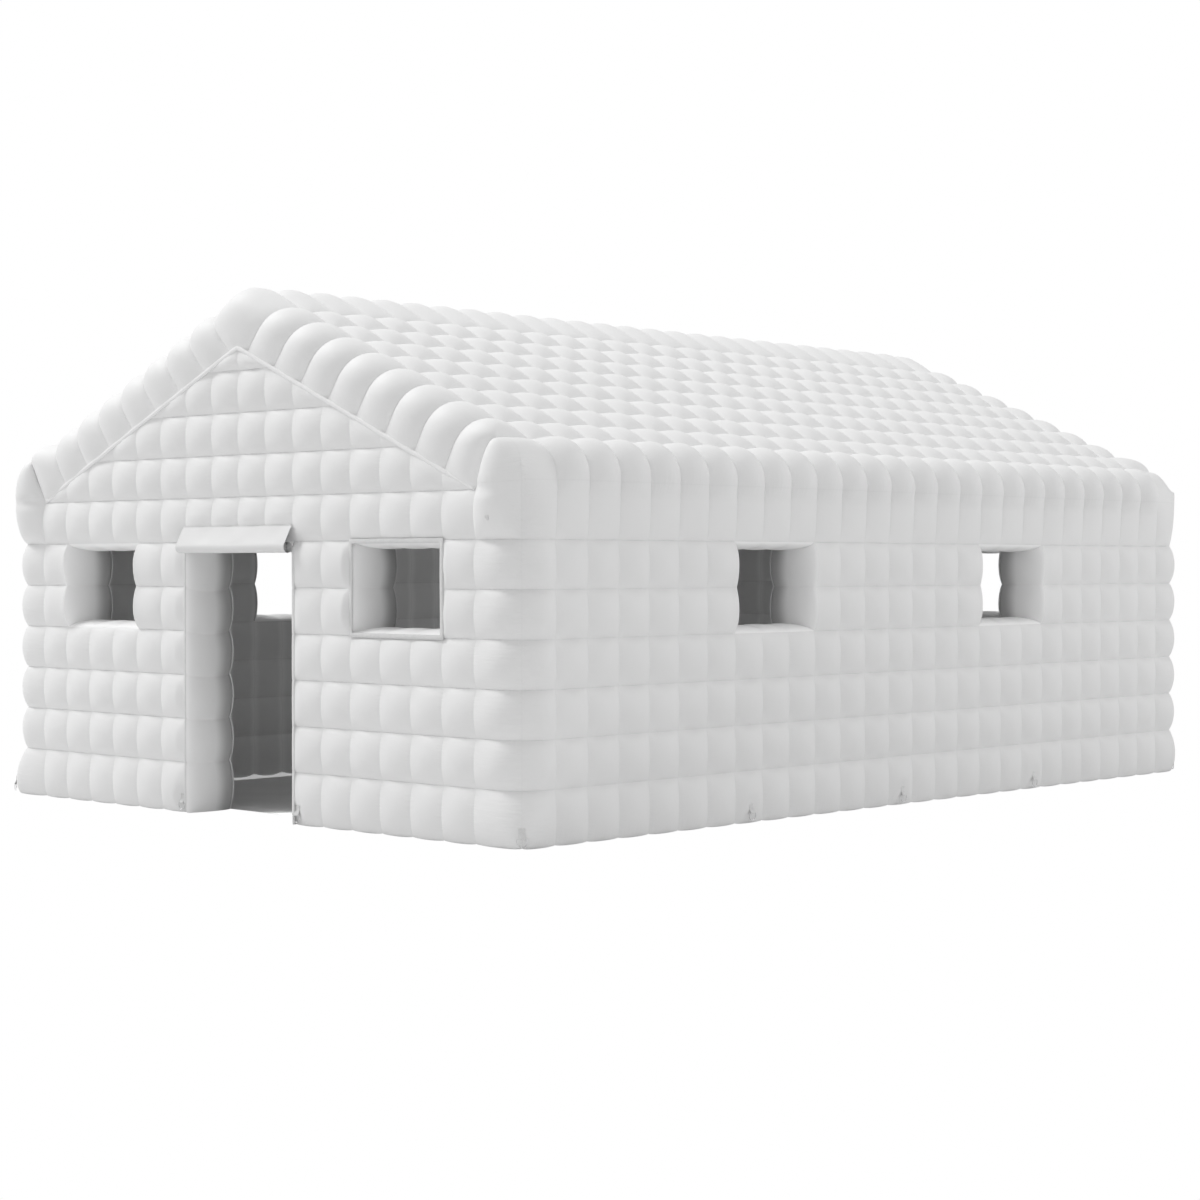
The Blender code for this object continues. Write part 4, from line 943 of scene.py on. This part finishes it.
def swept(cloth, path, wide, section, closed=False):
    """Carry a section along a path; the section's first axis follows wide."""
    path = np.asarray(path, float)
    if closed:
        path = np.concatenate([path[-1:], path, path[:2]])
    along = unit(np.gradient(path, axis=0))
    wide = np.broadcast_to(np.asarray(wide, float), path.shape)
    wide = unit(wide - along * (wide * along).sum(1, keepdims=True))
    out = np.cross(along, wide)
    section = np.concatenate([section, section[:1]])
    points = path[:, None] + wide[:, None] * section[:, :1] + out[:, None] * section[:, 1:]
    if closed:
        points = points[1:-1]
    else:
        ends = np.broadcast_to(path[[0, -1], None], (2, len(section), 3))
        points = np.concatenate([ends[:1], points, ends[1:]])
    run = np.arange(len(points))[:, None] / 10
    cloth.grid(points, joined(np.linspace(0, 1, len(section)), run))


def band(name, path, wide, section, material=TAPE, replaces=()):
    """One piece of trim swept along an open path."""
    cloth = Cloth()
    swept(cloth, path, wide, section)
    cloth.build(name, material, replaces, "webbing")


# %% [markdown]
# ## Door curtain
#
# A band above the door holds the curtain, which is rolled up and hangs under it. The roll
# rides on its own body, and the hanging cloth bends between the tent and the roll.

# %% Curtain
HEADER_OUT = 0.0376
HEADER_HEIGHT = 2.1975
ROLL_REACH = 0.078
ROLL_HEIGHT = 2.048
ROLL_RADIUS = 0.042
ROLL_CORE = 0.014
ROLL_TURNS = 8
ROLL_START = math.radians(145.3)
TOUCH_OUT = ROLL_REACH - ROLL_RADIUS * math.cos(ROLL_START)
TOUCH_UP = ROLL_HEIGHT + ROLL_RADIUS * math.sin(ROLL_START)
CURTAIN_TOP = 2.206
CURTAIN_OUT = HEADER_OUT + 0.0045
CURTAIN_HALF = 0.65

x = np.linspace(-CURTAIN_HALF, CURTAIN_HALF, 60)
path = joined(x, -HALF_LENGTH - HEADER_OUT - 0.001 * np.sin(x * 19.6), HEADER_HEIGHT)
band("door_header_band", path, UP, flat_section(0.035, 0.0035), replaces=["door_header"])

t = np.linspace(0, 1, 33)[:, None]
sway = 0.003 * np.sin(9 * x + 1.2) + 0.0015 * np.sin(23 * x)
dip = np.sin(np.pi * t)
out = CURTAIN_OUT + (TOUCH_OUT - CURTAIN_OUT) * t + dip * sway
up = CURTAIN_TOP + (TOUCH_UP - CURTAIN_TOP) * t - dip * 0.003
curtain = Cloth()
curtain.grid(joined(x, -HALF_LENGTH - out, up)[::-1], joined(x * 3 + 0.37, t[::-1] * 0.4 + 0.2))
curtain = curtain.build("door_curtain_cloth", CURTAIN, ["door_curtain"], body=None)
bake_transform(curtain)

turn = np.linspace(0, 1, ROLL_TURNS * 40 + 1)
angle = ROLL_START + 2 * np.pi * ROLL_TURNS * turn
radius = ROLL_RADIUS + (ROLL_CORE - ROLL_RADIUS) * turn
radius = radius + 0.0008 * np.sin(3 * angle + 0.4)
slack = 0.0006 * np.sin(7 * x[:, None] + 2 * angle) * ease(6 * (1 - turn))
slide = 1 - 0.02 * ease((turn - 0.05) * 3) * (1 + np.sin(angle / 3 + 0.8))
across = x[:, None] * slide
roll = Cloth()
roll.grid(joined(across, -HALF_LENGTH - ROLL_REACH + (radius + slack) * np.cos(angle),
                 ROLL_HEIGHT + (radius + slack) * np.sin(angle)), joined(across * 3, turn * 6))
roll = roll.build("door_roll_cloth", CURTAIN, ["door_roll"], body="curtain_roll")

# %% Piping on the slanted seams
x = np.linspace(-GABLE_HALF + 0.01, GABLE_HALF - 0.01, 161)
z = GABLE_TOP - SLOPE * (np.sqrt(x * x + 0.0004) - 0.01) + 0.0015 * np.sin(19 * x)
for end, word in ENDS:
    path = joined(x, end * (HALF_LENGTH + slant_lift(x) + 0.005), z)
    band(f"{word}_gable_piping", path, UP, round_section(0.008, 12) * [2, 1], PIPING)

# %% Piping on the jambs' inner edges
def edge_piping(name, place, opening, radius=0.006):
    """A piping down each jamb, which follows the lining's rows."""
    left, right, low, high = opening
    rows = inside(ROW_SEAMS, low, high)
    z = between(rows, 12)[1:-1]
    full = crown(z, rows)[0]
    piping = Cloth(place)
    for edge, inward in ((left, 1), (right, -1)):
        path = joined(edge + inward * (0.006 + 0.006 * full), z,
                      -WALL - LINING_BULGE * full ** ROUNDNESS - 0.002)
        swept(piping, path, (1, 0, 0), round_section(radius, 12))
    piping.build(name, TAPE, (), "webbing")


edge_piping("door_piping", FRONT, DOOR, 0.007)
for word, place, opening, seams in WINDOWS:
    edge_piping(f"{word}_window_piping", place, opening)

# %% Strips beside the door
z = between(ROW_SEAMS, 12)[1:]
full = beside_opening(crown(z, ROW_SEAMS)[0], z, DOOR[2], DOOR[3])
y = -HALF_LENGTH - 0.002 - np.minimum(BULGE * full ** ROUNDNESS, STRIP_STAND)
for side, word in SIDES:
    band(f"door_{word}_strip", joined(side * 0.6535, y, z), (1, 0, 0), flat_section(0.025, 0.003))


# %% [markdown]
# ## Window rim, tabs and rings

# %% Rim
RIM_WIDE = 0.012
RIM_REACH = 0.02
RIM_THICK = 0.004


def rim(name, node, opening):
    """A flat border round a window with a lip into it; each side waves a little."""
    left, right, low, high = opening
    front, lip = RIM_STAND + RIM_THICK, 0.0015
    section = [(0.0, -0.004), (0.0, RIM_STAND), (RIM_WIDE, RIM_STAND),
               (RIM_WIDE + lip, RIM_STAND + RIM_THICK / 2), (RIM_WIDE, front), (-RIM_REACH, front),
               (-RIM_REACH - lip, RIM_STAND + RIM_THICK / 2), (-RIM_REACH, RIM_STAND),
               (-RIM_THICK, RIM_STAND), (-RIM_THICK, -0.004), (0.0, -0.004)]
    corners = np.array([(left, low), (left, high), (right, high), (right, low), (left, low)])
    outward = np.array([(-1, -1), (-1, 1), (1, 1), (1, -1), (-1, -1)])
    t = np.linspace(0, 1, 25)[:-1, None]
    rows = []
    for spread, depth in section:
        grown = corners + spread * outward
        x, y = np.concatenate([*(a + (b - a) * t for a, b in zip(grown, grown[1:])), grown[:1]]).T
        wave = 0.0012 * np.sin(17 * x + 11 * y) * ease(depth / RIM_STAND)
        rows.append(joined(x, y, depth + wave))
    cloth = Cloth(FRONT)
    round_it, across = np.linspace(0, 12, len(rows[0])), np.linspace(0, 1, len(rows))[:, None]
    cloth.grid(np.array(rows), joined(round_it, across))
    cloth.build(name, TAPE, [node], "webbing")


rim("front_right_rim_band", "front_right_window_rim", FRONT_RIGHT_WINDOW)

# %% Valve patch
def valve(cloth, x, z, radius):
    """A round stitched patch with a raised lip, on the nearest point of the corner's cloth."""
    point = min((vert.co for vert in cloth.data.vertices if vert.co.y < -HALF_LENGTH),
                key=lambda co: math.hypot(co.x - x, co.z - z))
    turn, t = np.linspace(0, 2 * np.pi, 33), np.linspace(0, 1, 9)[:, None]
    height = 0.002 + 0.004 * np.exp(-((t - 0.7) / 0.15) ** 2) - 0.006 * t ** 6
    patch = Cloth()
    patch.grid(joined(point.x + radius * t * np.cos(turn), point.y - height,
                      point.z + 1.25 * radius * t * np.sin(turn)), joined(turn, t))
    patch.build("valve_patch", TAPE, (), "webbing")


valve(corners["front", "right"], 2.775, 2.246, 0.018)

# %% Tabs and rings
WIRE = 0.003
BOW = 0.036
RING_HEIGHT = 0.0775
TAB_KICK = 0.012


def ring_path():
    """Centre line of a D-ring under its bar, as (along, up)."""
    lead = math.radians(15)
    angle = np.linspace(-lead, np.pi + lead, 33)
    bow = arc(BOW, angle) * [1, -1] - [0, BOW / 2]
    return np.concatenate([joined(np.linspace(-0.033, 0.033, 12), 0), bow])


def tab_path():
    """Centre line of a webbing tab, as (out, up): down the front, round the bar, up the back."""
    loop = arc(0.0047, np.linspace(0, -np.pi, 13))
    front = [(-TAB_KICK + 0.0012, 0.070), (-TAB_KICK + 0.0012, 0.050), (-TAB_KICK + 0.0014, 0.036),
             (-0.002, 0.016), (0.0042, 0.006)]
    back = [(-0.0046, 0.006), (-0.0048, 0.014), (-TAB_KICK - 0.0006, 0.034),
            (-TAB_KICK - 0.001, 0.050), (-TAB_KICK - 0.001, 0.069)]
    return np.concatenate([front, loop, back])


def anchor(name, place, out, height):
    """One ring and its tab, in the ring's own frame on the wall's foot."""
    out = np.array([*out, 0.0]) / np.hypot(*out)
    along = np.cross(out, UP)
    origin = np.array([*place, RING_HEIGHT]) + out * (height + TAB_KICK)
    tab, wire = [origin + path[:, :1] * flat + path[:, 1:] * UP
                 for path, flat in ((tab_path(), out), (ring_path(), along))]
    band(f"anchor_tab_{name}", tab, along, flat_section(0.048, 0.0018))
    ring = Cloth()
    swept(ring, wire, out, round_section(WIRE), closed=True)
    ring.build(f"anchor_wire_{name}", STEEL, [f"anchor_ring_{name}"], "ring_steel", f"ring_{name}")


for side, word in SIDES:
    for end, place in ENDS:
        anchor(f"{place}_{word}_corner", (side * HALF_WIDTH, end * HALF_LENGTH), (side, end), 0.0)
    anchor(f"door_{word}", (side * DOOR_TAB, -HALF_LENGTH), (0, -1), DOOR_TAB_OUT)
    anchor(f"back_{word}", (side * BACK_TAB, HALF_LENGTH), (0, 1), TAB_OUT)
    for y, part in zip(LONG_TABS, ("front", "middle", "back")):
        anchor(f"{word}_{part}", (side * HALF_WIDTH, y), (side, 0), TAB_OUT)


# %% [markdown]
# ## Ground sheet and inner cloth

# %% Ground
ground = Cloth()
x, y = np.linspace(-2.619, 2.619, 80), np.linspace(-3.889, 3.889, 120)[:, None]
wave = 0.0008 * np.sin(5.1 * x + 1) * np.sin(3.7 * y)
ground.grid(joined(x, y, 0.0021 + wave), joined(x, y))
ground = ground.build("ground_sheet_cloth", SHEET, ["ground_sheet"], "sheet_cloth")


def base():
    """The bottom cloth of the walls: a flat ring, open at the door."""
    cloth = Cloth()
    far_x, far_y = HALF_WIDTH - 0.11, HALF_LENGTH - 0.11
    near_x, near_y = INNER_X + 0.0045, INNER_Y + 0.0045
    door_x = DOOR[1] + 0.005
    for left, right, low, high in (
            (-far_x, -near_x, -far_y, far_y), (near_x, far_x, -far_y, far_y),
            (-near_x, near_x, near_y, far_y), (-near_x, -door_x, -far_y, -near_y),
            (door_x, near_x, -far_y, -near_y)):
        x, y = np.linspace(left, right, 30), np.linspace(low, high, 30)[:, None]
        cloth.grid(joined(x, y, 0.0012 + 0.0006 * np.sin(7 * x) * np.sin(5 * y)), joined(x, y))
    cloth.build("base_cloth_sheet", HIDDEN, ["base_cloth"])


def baffle(word, place, half, levels, openings=()):
    """Strips of cloth from skin to lining under the row seams, left out at the openings."""
    cloth = Cloth(place)
    depth = np.linspace(0.03, 0.35, 8)[:, None]
    for level in levels:
        cuts = [edge for left, right, low, high in openings if low - 0.01 < level < high + 0.01
                for edge in (left - 0.03, right + 0.03)]
        for left, right in between_cuts(-half, half, cuts):
            x = np.linspace(left, right, 40)
            up = level + 0.006 * np.sin(9 * x) * np.sin(np.pi * depth / WALL)
            cloth.grid(joined(x, up, -depth), joined(x, depth))
    cloth.build(f"{word}_baffle_cloth", HIDDEN, [f"{word}_baffles"], "lining_cloth")


base()
baffle("front", FRONT, INNER_X - 0.05, [*ROW_SEAMS[1:], WALL_TOP], FRONT_OPENINGS)
baffle("back", BACK, INNER_X - 0.05, [*ROW_SEAMS[1:], WALL_TOP], (BACK_WINDOW,))
for side, word in SIDES:
    baffle(word, LONG[side], HALF_LENGTH - 0.35, ROW_SEAMS[1:], SIDE_WINDOWS)
    across = (0, side, 0)
    origin = np.array([side * INNER_X, 0, INNER_EAVE]) + WALL * np.cross(across, up_slope(side))
    baffle(f"{word}_roof", placed(origin, across, up_slope(side)), INNER_Y - 0.05,
           [INNER_X / math.cos(PITCH) * step / 8 for step in (1, 3, 5, 7)])


# %% [markdown]
# ## Studio
#
# A pale floor, white surroundings and the camera of the photo. The key lamp stands high in
# front on the left, one lamp is over the roof and one behind on the right. Two weak ones light
# the room and the floor inside the door.

# %% Floor, light and camera
def lamp(name, place, target, size, power):
    """A square lamp that faces a target."""
    data = bpy.data.lights.new(name, "AREA")
    data.size, data.energy = size, power
    light = linked(name, data, place)
    aim = mathutils.Vector(target) - light.location
    light.rotation_euler = aim.to_track_quat("-Z", "Y").to_euler()
    return light


def shown_white(tree, shader, output, white):
    """Use a white shader for rays that reach the camera directly, and shader otherwise."""
    path, white, mix = [tree.nodes.new("ShaderNode" + kind)
                        for kind in ("LightPath", white, "MixShader")]
    white.inputs[0].default_value = (1, 1, 1, 1)
    for number, socket in enumerate((path.outputs["Is Camera Ray"], tree.nodes[shader].outputs[0],
                                     white.outputs[0])):
        tree.links.new(socket, mix.inputs[number])
    tree.links.new(mix.outputs[0], tree.nodes[output].inputs["Surface"])


SKY = 0.597
scene = bpy.context.scene
scene.world = bpy.data.worlds.new("studio")
scene.world.use_nodes = True
studio = scene.world.node_tree
sky = studio.nodes["Background"].inputs
sky[0].default_value, sky[1].default_value = (1, 1, 1, 1), SKY
shown_white(studio, "Background", "World Output", "Background")

bpy.ops.mesh.primitive_plane_add(size=120, location=(0, 0, -0.002))
floor = bpy.context.object
floor.name = "studio_floor"
paint = Nodes("studio_floor", roughness=0.9)
paint.feed(paint.shader, {"Base Color": (0.8, 0.8, 0.8, 1), "Specular IOR Level": 0.5})
shown_white(paint.tree, "Principled BSDF", "Material Output", "Emission")
floor.data.materials.append(paint.material)
MIDDLE = (0, 0, 1.5)
key = lamp("key", (-31, -16.5, 38), MIDDLE, 12.0, 11600)
top = lamp("top", (5, -3, 25), MIDDLE, 8.0, 750)
fill = lamp("fill", (22, 24, 6), MIDDLE, 10.0, 1250)
glow = lamp("glow", (0, 0.5, 3.2), (0, 0.5, 0), 1.5, 12)
sill = lamp("sill", (0.08, -3.90, 0.5), (0.08, -3.92, 0), 0.3, 0.9)
sill.data.spread = math.radians(60)

data = bpy.data.cameras.new("camera")
camera = linked("camera", data, (14.371, -15.649, 1.907))
camera.rotation_euler = (math.radians(90 - 0.805), 0, math.radians(43.117))
data.lens, data.sensor_width = 72.04, 36
scene.camera = camera
scene.view_settings.view_transform = "Standard"
